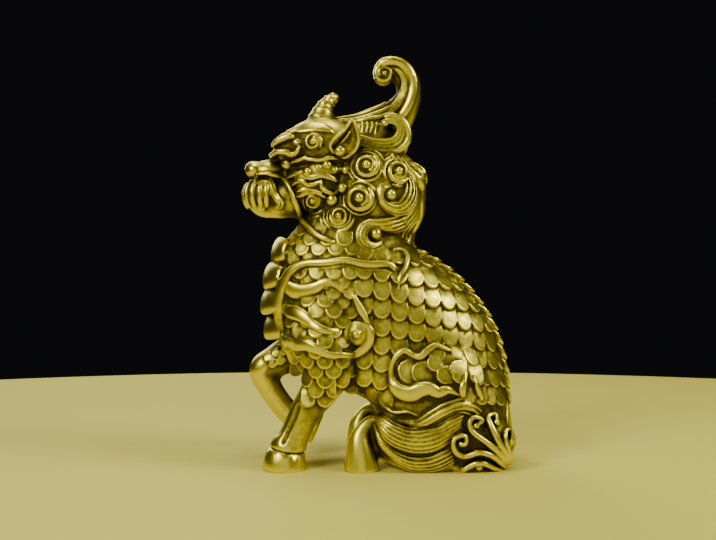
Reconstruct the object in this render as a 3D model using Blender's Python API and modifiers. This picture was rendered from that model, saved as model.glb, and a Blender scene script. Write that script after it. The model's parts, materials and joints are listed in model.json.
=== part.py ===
"""Seated qilin, a small cast brass figure that stands on a desk.

The figure faces -X and its left side, with the planted foreleg, is at -Y.
Tables are in millimetres, as (x, z) on a side of the figure unless they say otherwise.
Base forms are fused first. Carving is then laid on their surface, found by casting rays
at it, and everything is fused again into one closed casting with a flat underside.
"""
import math

import bmesh
import bpy
import numpy as np
from mathutils import Matrix, Vector
from mathutils.bvhtree import BVHTree

NAME = "qilin_figure"
MM = 0.001

# Driving sizes, mm
BASE_VOXEL = 0.7
CASTING_VOXEL = 0.36
BASE_SMOOTHING = 5
CASTING_SMOOTHING = 1
TRIANGLES = 9600
SCALE_PITCH = 3.55
SCALE_WIDTH = 3.4
SCALE_ROWS = 8
SCALE_COLUMNS = 12
SCALE_FRONT = -5.0
SCALE_TOP = 43.5
ARM_SCALE_PITCH = 3.3
STRAP_SIDES = 8
STRAP_STEPS = 6
STRAP_LIFT = 0.45
EAR_STATIONS = 9
EAR_HALF_WIDTH = 2.5
EAR_RIM = 0.55
TRUNK_SIDES = 40
LIMB_SIDES = 16
SHIELD_HALF_HEIGHT = 3.1
SHIELD_THICKNESS = 1.8
RAY_START = 60
SIDES = (-1, 1)

# Shares of a curl's radius
CURL_DOME = 0.42
CURL_STRAND = 0.2
CURL_BEAD = 0.3
CURL_STEPS_PER_TURN = 20

# How a scale leans out of the skin, and how thick it is in mm
SCALE_LEAN = 0.22
SCALE_THICKNESS = 0.5

# The trunk, bottom to top: height, front edge, back edge, half width
TRUNK = (
    (-2.0, 5.0, 26.8, 11.4), (0.5, 3.5, 27.6, 12.2), (4.0, 2.0, 27.8, 13.0),
    (9.0, 0.0, 27.3, 13.4), (13.0, -2.5, 26.8, 13.2), (16.0, -9.0, 26.4, 12.6),
    (19.0, -16.0, 25.9, 12.2), (23.0, -20.2, 25.2, 12.2), (28.0, -22.6, 23.9, 12.3),
    (33.0, -23.4, 20.9, 12.3), (37.0, -23.3, 17.4, 12.0), (41.0, -22.4, 13.0, 11.4),
    (45.0, -20.8, 7.2, 10.2), (49.0, -17.6, 6.0, 9.2), (54.0, -13.5, 6.0, 8.6),
    (60.0, -9.5, 5.5, 8.0),
)

# Rounded masses: centre x, y, z and radii x, y, z
MIDDLE_MASSES = (
    (-1.0, 0.0, 55.6, 10.0, 10.6, 11.0), (-11.8, 0.0, 64.9, 9.3, 7.8, 7.4),
    (-23.0, 0.0, 60.6, 4.4, 4.0, 2.9), (-23.6, 0.0, 55.9, 4.7, 4.8, 4.7),
    (-17.0, 0.0, 55.6, 6.4, 6.2, 4.5), (-12.2, 0.0, 58.4, 8.0, 8.3, 7.2),
    (-2.0, 0.0, 67.0, 7.2, 6.6, 5.0),
)
SIDE_MASSES = (
    (-17.6, 3.6, 65.6, 4.6, 3.2, 3.6), (-26.5, 1.5, 61.3, 1.9, 1.7, 1.8),
    (10.5, 8.8, 16.0, 10.8, 5.0, 10.6), (9.5, 9.6, 5.0, 10.5, 4.4, 5.6),
    (19.0, 8.0, 5.5, 8.2, 5.5, 6.0), (-10.5, 7.4, 28.0, 8.6, 5.6, 9.5),
    (6.6, 3.4, 59.4, 2.8, 2.8, 2.6),
)

# Limbs as chains of x, y, z, radius
NEAR_FORELEG = (
    (-11.2, -8.2, 26.0, 6.2), (-10.4, -9.0, 20.5, 5.2), (-12.2, -9.2, 16.0, 3.9),
    (-14.9, -9.0, 12.0, 3.2), (-16.8, -9.0, 7.9, 3.0), (-18.3, -9.0, 4.4, 3.4),
)
FAR_FORELEG = (
    (-12.0, 8.2, 27.0, 6.2), (-17.0, 8.4, 23.2, 4.6), (-22.4, 8.2, 20.2, 3.6),
    (-25.2, 8.0, 18.2, 3.2), (-23.6, 8.0, 14.2, 2.7), (-20.8, 8.0, 10.2, 2.6),
    (-18.0, 8.0, 7.6, 2.7),
)
HIND_HOOF = (
    (-3.7, 10.2, -0.6, 3.9), (-3.7, 10.2, 3.2, 3.5), (-3.2, 10.2, 6.8, 2.8),
    (-1.6, 10.0, 10.0, 2.1), (1.6, 9.6, 12.0, 2.6),
)
NEAR_HOOF = ((-19.3, -9.0, -0.6, 4.5), (-19.2, -9.0, 1.6, 4.3), (-18.7, -9.0, 4.3, 3.6))
FAR_HOOF = ((-18.4, 8.0, 7.8, 2.4), (-16.0, 8.0, 6.8, 3.2), (-13.2, 8.0, 5.6, 3.9))

CREST = (
    (2.2, 0.0, 68.4, 3.2), (4.5, 0.0, 71.9, 2.8), (6.0, 0.0, 75.3, 2.6),
    (6.2, 0.0, 78.6, 2.6), (5.2, 0.0, 81.2, 2.6), (3.0, 0.0, 82.9, 2.3),
    (1.2, 0.0, 82.9, 2.1), (0.5, 0.0, 81.5, 1.9), (1.6, 0.0, 80.7, 1.6),
)
CREST_FOOT = (
    (-10.0, 0.0, 70.6, 2.0), (-5.1, 0.0, 70.1, 2.5), (-0.9, 0.0, 71.0, 3.0),
    (2.6, 0.0, 73.2, 2.6), (5.4, 0.0, 76.4, 2.0),
)
CREST_BALL = (1.4, 81.8, 1.25)
HORN = (
    (-12.0, 0.0, 71.2, 2.9), (-11.6, 0.0, 74.0, 2.5), (-10.5, 0.0, 76.0, 1.9),
    (-9.1, 0.0, 77.3, 1.2), (-8.1, 0.0, 77.8, 0.6),
)
HORN_RINGS = 4

# Curls: centre x, z, radius, turns, angle in degrees at which the strand leaves the rim
CURLS = (
    (-3.1, 60.7, 3.3, 1.5, 160), (3.3, 60.1, 2.8, 1.4, 120), (-3.7, 54.7, 3.3, 1.5, 20),
    (2.1, 55.3, 3.2, 1.4, 300), (-8.1, 51.2, 2.4, 1.4, 170), (-1.7, 47.4, 3.1, 1.4, 60),
    (-13.8, 54.4, 1.8, 1.3, 90), (-13.4, 66.2, 2.1, 1.3, 200), (-16.8, 66.1, 1.1, 1.1, 200),
    (-5.1, 27.6, 2.3, 1.2, 90),
)

# Small round beads: x, z, radius
BEADS = (
    (-19.2, 62.1, 1.2), (-7.9, 64.5, 1.3), (-14.8, 60.0, 0.9), (-12.8, 60.4, 0.9),
    (-11.2, 61.2, 0.9), (-7.1, 60.4, 1.2), (-7.1, 57.0, 1.4), (-9.8, 54.4, 1.2),
)

# Straps that lie on the surface: half width, height, then the points they pass
STRAPS = (
    (0.8, 0.6, ((-21.9, 64.4), (-19.9, 65.0), (-18.0, 64.6), (-15.6, 64.2))),
    (0.5, 0.6, ((-17.9, 62.6), (-14.9, 63.4), (-12.6, 62.8), (-8.6, 63.0))),
    (0.8, 0.7, ((-21.2, 65.5), (-19.5, 66.9), (-17.5, 67.1))),
    (0.9, 0.8, ((-23.6, 60.3), (-21.4, 59.7), (-19.3, 58.5), (-18.3, 56.5), (-17.1, 53.8),
                (-15.9, 51.0), (-14.3, 48.7), (-12.2, 46.9), (-9.4, 45.7))),
    (0.5, 0.5, ((-18.7, 59.5), (-16.3, 60.1), (-14.8, 60.0))),
    (0.5, 0.5, ((-17.0, 58.2), (-12.2, 57.8), (-10.0, 55.4), (-8.2, 56.6))),
    (1.3, 1.1, ((-4.1, 66.3), (-2.0, 64.9), (1.0, 64.3), (3.7, 65.1), (4.9, 67.2),
                (5.0, 69.4), (3.9, 71.0), (2.0, 71.2), (1.0, 70.2))),
    (1.5, 1.0, ((2.9, 52.6), (4.9, 53.4), (6.0, 55.4), (6.0, 58.2), (4.8, 61.4))),
    (1.6, 1.0, ((-3.4, 49.4), (-1.1, 49.9), (2.6, 49.9), (5.4, 51.8), (6.8, 55.0))),
    (0.7, 0.8, ((2.8, 40.6), (0.9, 41.4), (-4.1, 41.6), (-7.1, 42.4), (-10.0, 41.8),
                (-16.0, 41.8), (-18.0, 40.6), (-19.4, 38.2), (-20.2, 35.2), (-20.6, 32.3),
                (-20.2, 28.3), (-18.8, 25.3))),
    (1.0, 0.9, ((-18.9, 37.2), (-15.9, 36.1), (-13.0, 36.5), (-11.0, 37.4), (-9.0, 37.2),
                (-7.3, 35.9), (-5.5, 35.5))),
    (0.8, 0.8, ((-19.5, 32.3), (-16.9, 32.1), (-15.0, 31.1), (-13.0, 29.0), (-10.4, 28.2),
                (-8.0, 28.4))),
    (0.9, 0.8, ((-17.9, 25.6), (-15.0, 25.4), (-12.4, 24.8), (-10.0, 23.6), (-7.1, 24.0),
                (-3.6, 24.6), (-2.3, 27.4))),
    (0.6, 0.7, ((-5.7, 36.2), (-4.5, 33.9), (-2.9, 31.1), (-2.1, 29.1))),
    (0.7, 0.7, ((3.9, 44.2), (5.5, 42.6), (5.1, 40.6), (3.9, 38.6), (3.5, 36.2))),
    (0.8, 0.9, ((13.9, 23.9), (11.0, 25.1), (8.1, 23.1), (4.7, 24.5), (3.2, 22.9), (2.4, 20.2),
                (3.0, 17.6), (5.2, 15.5), (8.1, 17.0), (11.8, 15.3), (13.6, 16.1), (15.5, 15.3))),
    (0.8, 0.9, ((3.8, 10.5), (7.3, 9.9), (9.7, 11.7), (12.6, 13.6), (15.6, 14.8), (19.5, 13.1))),
    (0.5, 0.9, ((16.1, 7.1), (14.7, 7.5), (13.7, 6.3), (14.1, 4.7), (15.7, 3.9), (18.7, 4.5),
                (21.7, 4.3), (23.6, 3.1), (25.2, 1.5))),
    (0.5, 0.9, ((19.0, 9.3), (18.6, 10.7), (17.4, 10.9), (17.0, 9.3), (18.2, 7.9), (20.8, 6.3),
                (23.8, 3.3))),
    (0.5, 0.9, ((22.8, 8.9), (22.2, 10.5), (21.2, 10.3), (21.2, 8.3), (22.6, 5.8), (25.0, 1.8))),
)

# Tail hair hangs between an upper and a lower edge as parallel locks
TAIL_TOP = ((-1.6, 10.2), (2.8, 9.2), (7.2, 8.3), (11.7, 9.2), (17.6, 10.8), (22.0, 8.0))
TAIL_LOW = ((-1.2, 7.6), (1.8, 3.6), (5.8, 1.2), (10.7, 0.6), (15.6, 2.0), (21.0, 1.4))
TAIL_LOCKS = 5

# Plates down the spine: x, z. Shields across the breast: their heights
SPINE = (
    (8.6, 44.0), (11.9, 42.2), (14.9, 40.0), (17.6, 37.6), (20.0, 34.8), (22.1, 31.8),
    (23.9, 28.6), (25.2, 25.2), (26.1, 21.6), (26.7, 18.0), (27.0, 14.4),
)
BREAST = (44.6, 39.6, 34.4, 29.0)
BREAST_HALF_ANGLE = 38


def smooth_path(points, steps):
    """Catmull-Rom curve through the points, with steps samples a span."""
    data = np.array(points, dtype=float)
    ends = np.vstack([2 * data[0] - data[1], data, 2 * data[-1] - data[-2]])
    out = []
    for i in range(1, len(ends) - 2):
        before, start, stop, after = ends[i - 1:i + 3]
        for t in np.arange(steps) / steps:
            out.append(0.5 * (2 * start + (stop - before) * t
                              + (2 * before - 5 * start + 4 * stop - after) * t ** 2
                              + (3 * start - before - 3 * stop + after) * t ** 3))
    out.append(data[-1])
    return np.array(out)


def add_ball(bm, centre, radii, turn=None, detail=(16, 10)):
    """A sphere of the given radii, turned by a 3x3 matrix, at centre."""
    frame = (turn or Matrix.Identity(3)).to_4x4()
    matrix = Matrix.Translation(Vector(centre) * MM) @ frame
    matrix = matrix @ Matrix.Diagonal((*(Vector(radii) * MM), 1.0))
    bmesh.ops.create_uvsphere(bm, u_segments=detail[0], v_segments=detail[1], radius=1.0,
                              matrix=matrix)


def add_sweep(bm, centres, ups, half_widths, heights, sides=STRAP_SIDES):
    """A closed bar of elliptical section whose flat side keeps to the ups."""
    rings = []
    count = len(centres)
    for i, centre in enumerate(centres):
        along = (centres[min(i + 1, count - 1)] - centres[max(i - 1, 0)]).normalized()
        across = along.cross(ups[i]).normalized()
        up = across.cross(along).normalized()
        ring = []
        for k in range(sides):
            angle = 2 * math.pi * k / sides
            offset = across * (half_widths[i] * math.cos(angle)) + up * (heights[i] * math.sin(angle))
            ring.append(bm.verts.new((centre + offset) * MM))
        rings.append(ring)
    for first, second in zip(rings, rings[1:]):
        for k in range(sides):
            after = (k + 1) % sides
            bm.faces.new((first[k], first[after], second[after], second[k]))
    bm.faces.new(rings[0][::-1])
    bm.faces.new(rings[-1])


def add_limb(bm, chain, flatten=1.0):
    """A round tapering bar through x, y, z, radius, squeezed in y by flatten."""
    path = smooth_path(chain, STRAP_STEPS)
    centres = [Vector(row[:3]) for row in path]
    ups = [Vector((0, 1, 0))] * len(path)
    add_sweep(bm, centres, ups, path[:, 3], path[:, 3] * flatten, sides=LIMB_SIDES)


def trunk_section(height):
    """Front edge, back edge and half width of the trunk at a height."""
    table = np.array(TRUNK)
    return [float(np.interp(height, table[:, 0], table[:, i])) for i in (1, 2, 3)]


def trunk_outline(height, angle):
    """Point of the trunk's skin at an angle, where 0 is the back and 90 degrees a side."""
    front, back, half_width = trunk_section(height)
    middle, reach = (front + back) / 2, (back - front) / 2
    return Vector((middle + reach * math.cos(angle), half_width * math.sin(angle), height))


def add_trunk(bm):
    """The trunk and neck, a loft of unlike ellipses."""
    turns = [2 * math.pi * k / TRUNK_SIDES for k in range(TRUNK_SIDES)]
    rings = [[bm.verts.new(trunk_outline(row[0], turn) * MM) for turn in turns] for row in TRUNK]
    for low, high in zip(rings, rings[1:]):
        for k in range(TRUNK_SIDES):
            after = (k + 1) % TRUNK_SIDES
            bm.faces.new((low[k], low[after], high[after], high[k]))
    bm.faces.new(rings[0][::-1])
    bm.faces.new(rings[-1])


def mesh_object(name, bm, collection):
    """Put a bmesh into a named object with outward faces."""
    bmesh.ops.recalc_face_normals(bm, faces=bm.faces)
    mesh = bpy.data.meshes.new(name)
    bm.to_mesh(mesh)
    bm.free()
    thing = bpy.data.objects.new(name, mesh)
    collection.objects.link(thing)
    return thing


def fuse(thing, voxel, smoothing):
    """Fuse overlapping forms into one skin and soften their joins."""
    remesh = thing.modifiers.new("fuse", "REMESH")
    remesh.mode = "VOXEL"
    remesh.voxel_size = voxel * MM
    soften = thing.modifiers.new("soften", "SMOOTH")
    soften.factor = 0.5
    soften.iterations = smoothing


def base_forms(bm):
    """All the large forms, before any carving."""
    add_trunk(bm)
    for x, y, z, rx, ry, rz in MIDDLE_MASSES:
        add_ball(bm, (x, y, z), (rx, ry, rz), detail=(24, 16))
    for side in SIDES:
        for x, y, z, rx, ry, rz in SIDE_MASSES:
            add_ball(bm, (x, side * y, z), (rx, ry, rz), detail=(24, 16))
        add_limb(bm, [(x, side * y, z, r) for x, y, z, r in HIND_HOOF])
    add_limb(bm, NEAR_FORELEG)
    add_limb(bm, FAR_FORELEG)
    add_limb(bm, NEAR_HOOF)
    add_limb(bm, FAR_HOOF)
    add_limb(bm, CREST, flatten=0.85)
    add_limb(bm, CREST_FOOT, flatten=0.9)
    add_limb(bm, HORN)


class Skin:
    """The fused base, on which carving is laid."""

    def __init__(self, thing):
        depsgraph = bpy.context.evaluated_depsgraph_get()
        self.tree = BVHTree.FromObject(thing, depsgraph)

    def cast(self, start, heading):
        """First hit of a ray and its normal, in mm, or None."""
        point, normal, _, _ = self.tree.ray_cast(start * MM, heading)
        return None if point is None else (point / MM, normal)

    def at(self, x, z, side):
        """Skin seen from a side at x, z; beyond the outline, its nearest point."""
        found = self.cast(Vector((x, side * RAY_START, z)), Vector((0, -side, 0)))
        if found:
            return found
        point, normal, _, _ = self.tree.find_nearest(Vector((x, side * 2, z)) * MM)
        return point / MM, normal


def taper(count, blunt):
    """Widths that swell from a fine end to full and back, blunt at both ends."""
    return blunt + (1 - blunt) * np.abs(np.sin(np.pi * np.linspace(0, 1, count))) ** 0.5


def add_strap(bm, skin, points, half_width, height, side):
    """A raised strap along the skin through (x, z) points."""
    hits = [skin.at(x, z, side) for x, z in smooth_path(points, STRAP_STEPS)]
    swell = taper(len(hits), 0.45)
    centres = [point + normal * STRAP_LIFT for point, normal in hits]
    ups = [normal for _, normal in hits]
    add_sweep(bm, centres, ups, half_width * swell, height * swell)


def face_frame(normal):
    """Axes on a surface patch: x roughly forward, y roughly up, z out of it."""
    out = normal.normalized()
    across = Vector((1, 0, 0))
    across = (across - out * across.dot(out)).normalized()
    return Matrix((across, out.cross(across), out)).transposed()


def add_curl(bm, skin, x, z, radius, turns, start, side):
    """A snail curl: a low dome, a strand winding in over it and a bead in its eye."""
    point, normal = skin.at(x, z, side)
    outward = (normal + Vector((0, side, 0))).normalized()
    frame = face_frame(outward)
    dome = CURL_DOME * radius
    add_ball(bm, point, (radius, radius, dome), frame)
    add_ball(bm, point + outward * dome, (CURL_BEAD * radius,) * 3, frame, (10, 6))
    samples = int(CURL_STEPS_PER_TURN * turns)
    centres = []
    for i in range(samples + 1):
        t = i / samples
        reach = radius * (0.92 - 0.5 * t)
        angle = math.radians(start) + side * 2 * math.pi * turns * t
        lift = dome * math.sqrt(1 - (reach / radius) ** 2)
        local = Vector((reach * math.cos(angle), reach * math.sin(angle) * -side, lift))
        centres.append(point + frame @ local)
    thick = [CURL_STRAND * radius] * len(centres)
    add_sweep(bm, centres, [outward] * len(centres), thick, thick, sides=6)


def add_ear(bm, skin, side):
    """A leaf-shaped ear that stands back and out, with a dished front."""
    root, _ = skin.at(-8.6, 64.0, side)
    root.y += side * 0.6
    tip = Vector((-5.4, root.y + side * 2.8, 70.4))
    facing = Vector((-0.25, side, 0.1)).normalized()
    across = (tip - root).cross(facing).normalized()
    reach = np.linspace(0, 1, EAR_STATIONS)
    spine = [root.lerp(tip, t) for t in reach]
    widths = 0.2 + EAR_HALF_WIDTH * np.sin(np.pi * (0.2 + 0.8 * reach)) ** 0.8
    add_sweep(bm, spine, [facing] * EAR_STATIONS, widths, [0.7] * EAR_STATIONS)
    for edge in SIDES:
        rim = [point + across * (edge * width) + facing * EAR_RIM
               for point, width in zip(spine, widths)]
        thick = [EAR_RIM] * EAR_STATIONS
        add_sweep(bm, rim, [facing] * EAR_STATIONS, thick, thick, sides=6)


def add_scale(bm, point, normal, half_width, half_height):
    """One scale: a shield whose lower edge stands off the skin."""
    down = Vector((0, 0, -1))
    down = (down - normal * down.dot(normal)).normalized()
    tilted = (normal - down * SCALE_LEAN).normalized()
    axis = down.cross(tilted).normalized()
    frame = Matrix((axis, tilted.cross(axis), tilted)).transposed()
    add_ball(bm, point, (half_width, half_height, SCALE_THICKNESS), frame, (12, 6))


def add_scales(bm, skin):
    """Scales in upright columns round the flanks and back."""
    for row in range(SCALE_ROWS):
        height = SCALE_TOP - row * SCALE_PITCH
        front, back, half_width = trunk_section(height)
        spread = (back - front) / 2
        half_girth = math.pi * math.sqrt((spread ** 2 + half_width ** 2) / 2)
        step = math.pi * SCALE_WIDTH / half_girth
        middle = Vector(((front + back) / 2, 0, height))
        for column in range(1, SCALE_COLUMNS + 1):
            for side in SIDES:
                outline = trunk_outline(height, side * column * step)
                heading = (outline - middle).normalized()
                found = skin.cast(middle + heading * RAY_START, -heading)
                if found and found[0].x > SCALE_FRONT:
                    add_scale(bm, *found, SCALE_WIDTH * 0.54, SCALE_PITCH * 0.62)


def add_tail_hair(bm, skin, side):
    """Locks of tail hair that hang in parallel between two edges."""
    top, low = np.array(TAIL_TOP), np.array(TAIL_LOW)
    for i in range(TAIL_LOCKS):
        points = top + (low - top) * i / (TAIL_LOCKS - 1)
        add_strap(bm, skin, points, 0.9, 0.9, side)


def add_moustache(bm, skin, side):
    """Upright flutes of whisker hair over the mouth."""
    for x in (-26.8, -25.2, -23.6, -22.0):
        add_strap(bm, skin, ((x, 59.0), (x - 0.3, 56.4), (x + 0.5, 53.4)), 0.55, 0.7, side)


def add_breast_shield(bm, height):
    """A broad shield bent round the breast, its lower edge proud of the one below."""
    angles = np.radians(np.linspace(180 - BREAST_HALF_ANGLE, 180 + BREAST_HALF_ANGLE, 13))
    rim = [trunk_outline(height, angle) for angle in angles]
    middle = trunk_outline(height, math.pi) + Vector((20, 0, 0))
    ups = [((point - middle).normalized() + Vector((0, 0, 0.35))).normalized() for point in rim]
    centres = [point + up * 0.5 for point, up in zip(rim, ups)]
    swell = taper(len(centres), 0.5)
    add_sweep(bm, centres, ups, SHIELD_HALF_HEIGHT * swell, SHIELD_THICKNESS * swell,
              sides=12)


def add_arm_scales(bm, skin, side):
    """Scales over the upper arm, in staggered rows."""
    for row, height in enumerate(np.arange(18.0, 39.0, ARM_SCALE_PITCH)):
        for x in np.arange(-16.5 + (row % 2) * ARM_SCALE_PITCH / 2, -6.0, ARM_SCALE_PITCH):
            point, normal = skin.at(x, height, side)
            if normal.y * side > 0.5:
                add_scale(bm, point, normal, ARM_SCALE_PITCH * 0.5, ARM_SCALE_PITCH * 0.6)


def add_middle_carving(bm, skin):
    """Carving on the middle plane: spine plates, breast shields, horn rings."""
    for (x, z), (after_x, after_z) in zip(SPINE, SPINE[1:] + ((27.2, 10.8),)):
        along = Vector((after_x - x, 0, after_z - z)).normalized()
        out = Vector((-along.z, 0, along.x))
        frame = Matrix((along, Vector((0, 1, 0)), along.cross(Vector((0, 1, 0))))).transposed()
        add_ball(bm, Vector((x, 0, z)) - out * 0.1, (1.9, 2.6, 0.9), frame)
    for height in BREAST:
        add_breast_shield(bm, height)
    chain = smooth_path(HORN, HORN_RINGS)[2:-4]
    for x, y, z, radius in chain[::3]:
        add_ball(bm, (x, y, z), (radius + 0.3, radius + 0.3, 0.55))


def carve(bm, skin):
    """All carving, on both sides."""
    for side in SIDES:
        for half_width, height, points in STRAPS:
            add_strap(bm, skin, points, half_width, height, side)
        for x, z, radius, turns, start in CURLS:
            add_curl(bm, skin, x, z, radius, turns, start, side)
        for x, z, radius in BEADS:
            point, _ = skin.at(x, z, side)
            add_ball(bm, point, (radius,) * 3, detail=(12, 8))
        add_ear(bm, skin, side)
        add_arm_scales(bm, skin, side)
        add_tail_hair(bm, skin, side)
        add_moustache(bm, skin, side)
    x, z, radius = CREST_BALL
    add_ball(bm, (x, 0, z), (radius, 2.6, radius))
    add_scales(bm, skin)
    add_middle_carving(bm, skin)


def brass():
    """Worn cast brass."""
    material = bpy.data.materials.new("antique_brass")
    material.use_nodes = True
    shader = material.node_tree.nodes["Principled BSDF"]
    shader.inputs["Base Color"].default_value = (0.40, 0.30, 0.07, 1.0)
    shader.inputs["Metallic"].default_value = 1.0
    shader.inputs["Roughness"].default_value = 0.38
    return material


def centre_in_plan(figure):
    """Put the middle of the figure's plan over the origin."""
    bpy.context.view_layer.update()
    solid = figure.evaluated_get(bpy.context.evaluated_depsgraph_get()).to_mesh()
    for axis in (0, 1):
        places = [vertex.co[axis] for vertex in solid.vertices]
        figure.location[axis] = -(min(places) + max(places)) / 2


def main():
    for thing in list(bpy.data.objects):
        bpy.data.objects.remove(thing)
    figure_parts = bpy.data.collections.new(NAME)
    cutters = bpy.data.collections.new("cutters")
    for collection in (figure_parts, cutters):
        bpy.context.scene.collection.children.link(collection)

    bm = bmesh.new()
    base_forms(bm)
    base = mesh_object("base_forms", bm, cutters)
    fuse(base, BASE_VOXEL, BASE_SMOOTHING)
    bpy.context.view_layer.update()
    skin = Skin(base)

    depsgraph = bpy.context.evaluated_depsgraph_get()
    bm = bmesh.new()
    carve(bm, skin)
    bmesh.ops.recalc_face_normals(bm, faces=bm.faces)
    bm.from_mesh(base.evaluated_get(depsgraph).to_mesh())
    bpy.data.objects.remove(base)
    figure = mesh_object(NAME, bm, figure_parts)
    figure.data.materials.append(brass())
    fuse(figure, CASTING_VOXEL, CASTING_SMOOTHING)
    bpy.context.view_layer.update()
    dense = len(figure.evaluated_get(bpy.context.evaluated_depsgraph_get()).data.polygons) * 2
    thin = figure.modifiers.new("facets", "DECIMATE")
    thin.ratio = TRIANGLES / dense

    bm = bmesh.new()
    bmesh.ops.create_cube(bm, size=1.0, matrix=Matrix.Translation((0, 0, -0.05))
                          @ Matrix.Diagonal((0.2, 0.2, 0.1, 1.0)))
    floor = mesh_object("floor_cutter", bm, cutters)
    floor.hide_render = True
    floor.display_type = "WIRE"
    flat = figure.modifiers.new("flat_underside", "BOOLEAN")
    flat.operation = "DIFFERENCE"
    flat.solver = "EXACT"
    flat.object = floor
    centre_in_plan(figure)


main()
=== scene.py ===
import json
import math

import bmesh
import bpy
import numpy as np
from mathutils import Matrix, Vector
from mathutils.bvhtree import BVHTree

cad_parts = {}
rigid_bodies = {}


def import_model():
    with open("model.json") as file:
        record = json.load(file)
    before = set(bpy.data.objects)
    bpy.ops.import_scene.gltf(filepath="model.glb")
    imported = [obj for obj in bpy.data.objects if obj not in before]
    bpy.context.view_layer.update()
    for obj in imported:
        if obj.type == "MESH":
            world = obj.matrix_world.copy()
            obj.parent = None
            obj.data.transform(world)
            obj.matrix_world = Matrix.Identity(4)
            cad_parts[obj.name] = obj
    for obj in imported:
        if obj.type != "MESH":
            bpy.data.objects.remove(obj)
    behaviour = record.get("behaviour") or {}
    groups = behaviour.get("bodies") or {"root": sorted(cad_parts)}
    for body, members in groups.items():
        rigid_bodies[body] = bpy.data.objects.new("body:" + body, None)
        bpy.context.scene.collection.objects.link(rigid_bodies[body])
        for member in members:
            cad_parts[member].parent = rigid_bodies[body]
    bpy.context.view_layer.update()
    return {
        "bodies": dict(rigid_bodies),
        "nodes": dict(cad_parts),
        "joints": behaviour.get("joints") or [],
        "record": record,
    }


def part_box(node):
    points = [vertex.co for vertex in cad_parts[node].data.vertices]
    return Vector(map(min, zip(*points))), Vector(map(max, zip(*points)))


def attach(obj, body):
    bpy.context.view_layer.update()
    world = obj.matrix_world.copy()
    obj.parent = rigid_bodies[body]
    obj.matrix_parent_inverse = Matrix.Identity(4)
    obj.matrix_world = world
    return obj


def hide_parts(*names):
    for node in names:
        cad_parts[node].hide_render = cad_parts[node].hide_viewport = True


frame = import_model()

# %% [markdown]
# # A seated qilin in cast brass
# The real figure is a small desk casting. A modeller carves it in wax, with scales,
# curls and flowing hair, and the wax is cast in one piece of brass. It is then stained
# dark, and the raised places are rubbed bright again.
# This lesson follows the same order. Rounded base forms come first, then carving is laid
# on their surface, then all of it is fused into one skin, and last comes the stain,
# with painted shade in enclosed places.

MM = 0.001
SIDES = (-1, 1)
solid_low, solid_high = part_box("qilin_figure")
print("The packed solid, mm:", [round(v / MM, 1) for v in solid_high - solid_low])

# %% [markdown]
# ## Camera, floor and light
# The photograph looks level at the figure's left side from close by. The camera stands
# where the photograph's own perspective puts it. A casting this glossy is seen mostly by
# what it reflects, so the lights are large and soft and the room behind them stays dark.

# %% Camera
PHOTO_WIDTH = 716
FOCAL_PIXELS = 1004
SENSOR = 36.0
CAMERA_PLACE = Vector((-4.3, -211.9, 40.2)) * MM

camera_data = bpy.data.cameras.new("photo_camera")
camera_data.sensor_width = SENSOR
camera_data.lens = SENSOR * FOCAL_PIXELS / PHOTO_WIDTH
camera_data.clip_start = 0.01
camera = bpy.data.objects.new("photo_camera", camera_data)
camera.location = CAMERA_PLACE
camera.rotation_euler = (math.radians(90), 0, 0)
bpy.context.scene.collection.objects.link(camera)
bpy.context.scene.camera = camera
print("Lens:", round(camera_data.lens, 1), "mm")

# %% Soft lights: place, height aimed at, size and power
LIGHT_TINT = (1.0, 0.97, 0.90)
LIGHTS = (
    ("key", (-230, -250, 260), 45, 135, 1.0), ("right", (280, -110, 270), 40, 135, 0.92),
    ("top", (-10, 40, 420), 40, 200, 0.65), ("front", (20, -520, 130), 40, 420, 0.30),
    ("back", (-160, 330, 240), 45, 300, 0.75),
)


def soft_light(name, place, aim_height, size, power):
    """A square area light at a place in mm that faces the figure's axis at a height."""
    data = bpy.data.lights.new(name, "AREA")
    data.shape = "SQUARE"
    data.size = size * MM
    data.energy = power
    data.color = LIGHT_TINT
    light = bpy.data.objects.new(name, data)
    light.location = Vector(place) * MM
    heading = (Vector((0, 0, aim_height)) - Vector(place)).normalized()
    light.rotation_euler = heading.to_track_quat("-Z", "Y").to_euler()
    bpy.context.scene.collection.objects.link(light)


for row in LIGHTS:
    soft_light(*row)
print("Lights:", len(bpy.data.lights))

# %% Dark room
ROOM_COLOUR = (0.03, 0.03, 0.035, 1)
ROOM_STRENGTH = 0.15
room = bpy.data.worlds.new("dark_room")
room.use_nodes = True
room.node_tree.nodes["Background"].inputs["Color"].default_value = ROOM_COLOUR
room.node_tree.nodes["Background"].inputs["Strength"].default_value = ROOM_STRENGTH
bpy.context.scene.world = room

# %% Pale floor
FLOOR_RADIUS = 330
FLOOR_BACK = 185
FLOOR_COLOUR = (0.66, 0.60, 0.08, 1)
FLOOR_ROUGHNESS = 0.85
floor_mesh = bpy.data.meshes.new("pale_floor")
bm = bmesh.new()
floor_middle = Matrix.Translation((0, (FLOOR_BACK - FLOOR_RADIUS) * MM, 0))
bmesh.ops.create_circle(bm, cap_ends=True, segments=96, radius=FLOOR_RADIUS * MM,
                        matrix=floor_middle)
bm.to_mesh(floor_mesh)
bm.free()
floor = bpy.data.objects.new("pale_floor", floor_mesh)
floor_paint = bpy.data.materials.new("pale_floor")
floor_paint.use_nodes = True
floor_shader = floor_paint.node_tree.nodes["Principled BSDF"]
floor_shader.inputs["Base Color"].default_value = FLOOR_COLOUR
floor_shader.inputs["Roughness"].default_value = FLOOR_ROUGHNESS
floor_mesh.materials.append(floor_paint)
bpy.context.scene.collection.objects.link(floor)

# %% [markdown]
# ## Clay: closed forms collected in millimetres
# Every form below is a small closed shape: a ball, a lofted trunk or a bar that is swept
# along a path. They may overlap freely, because a voxel remesh fuses them later. All of
# them are collected as plain arrays first, which is much faster than one operator call
# for each shape.

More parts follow.
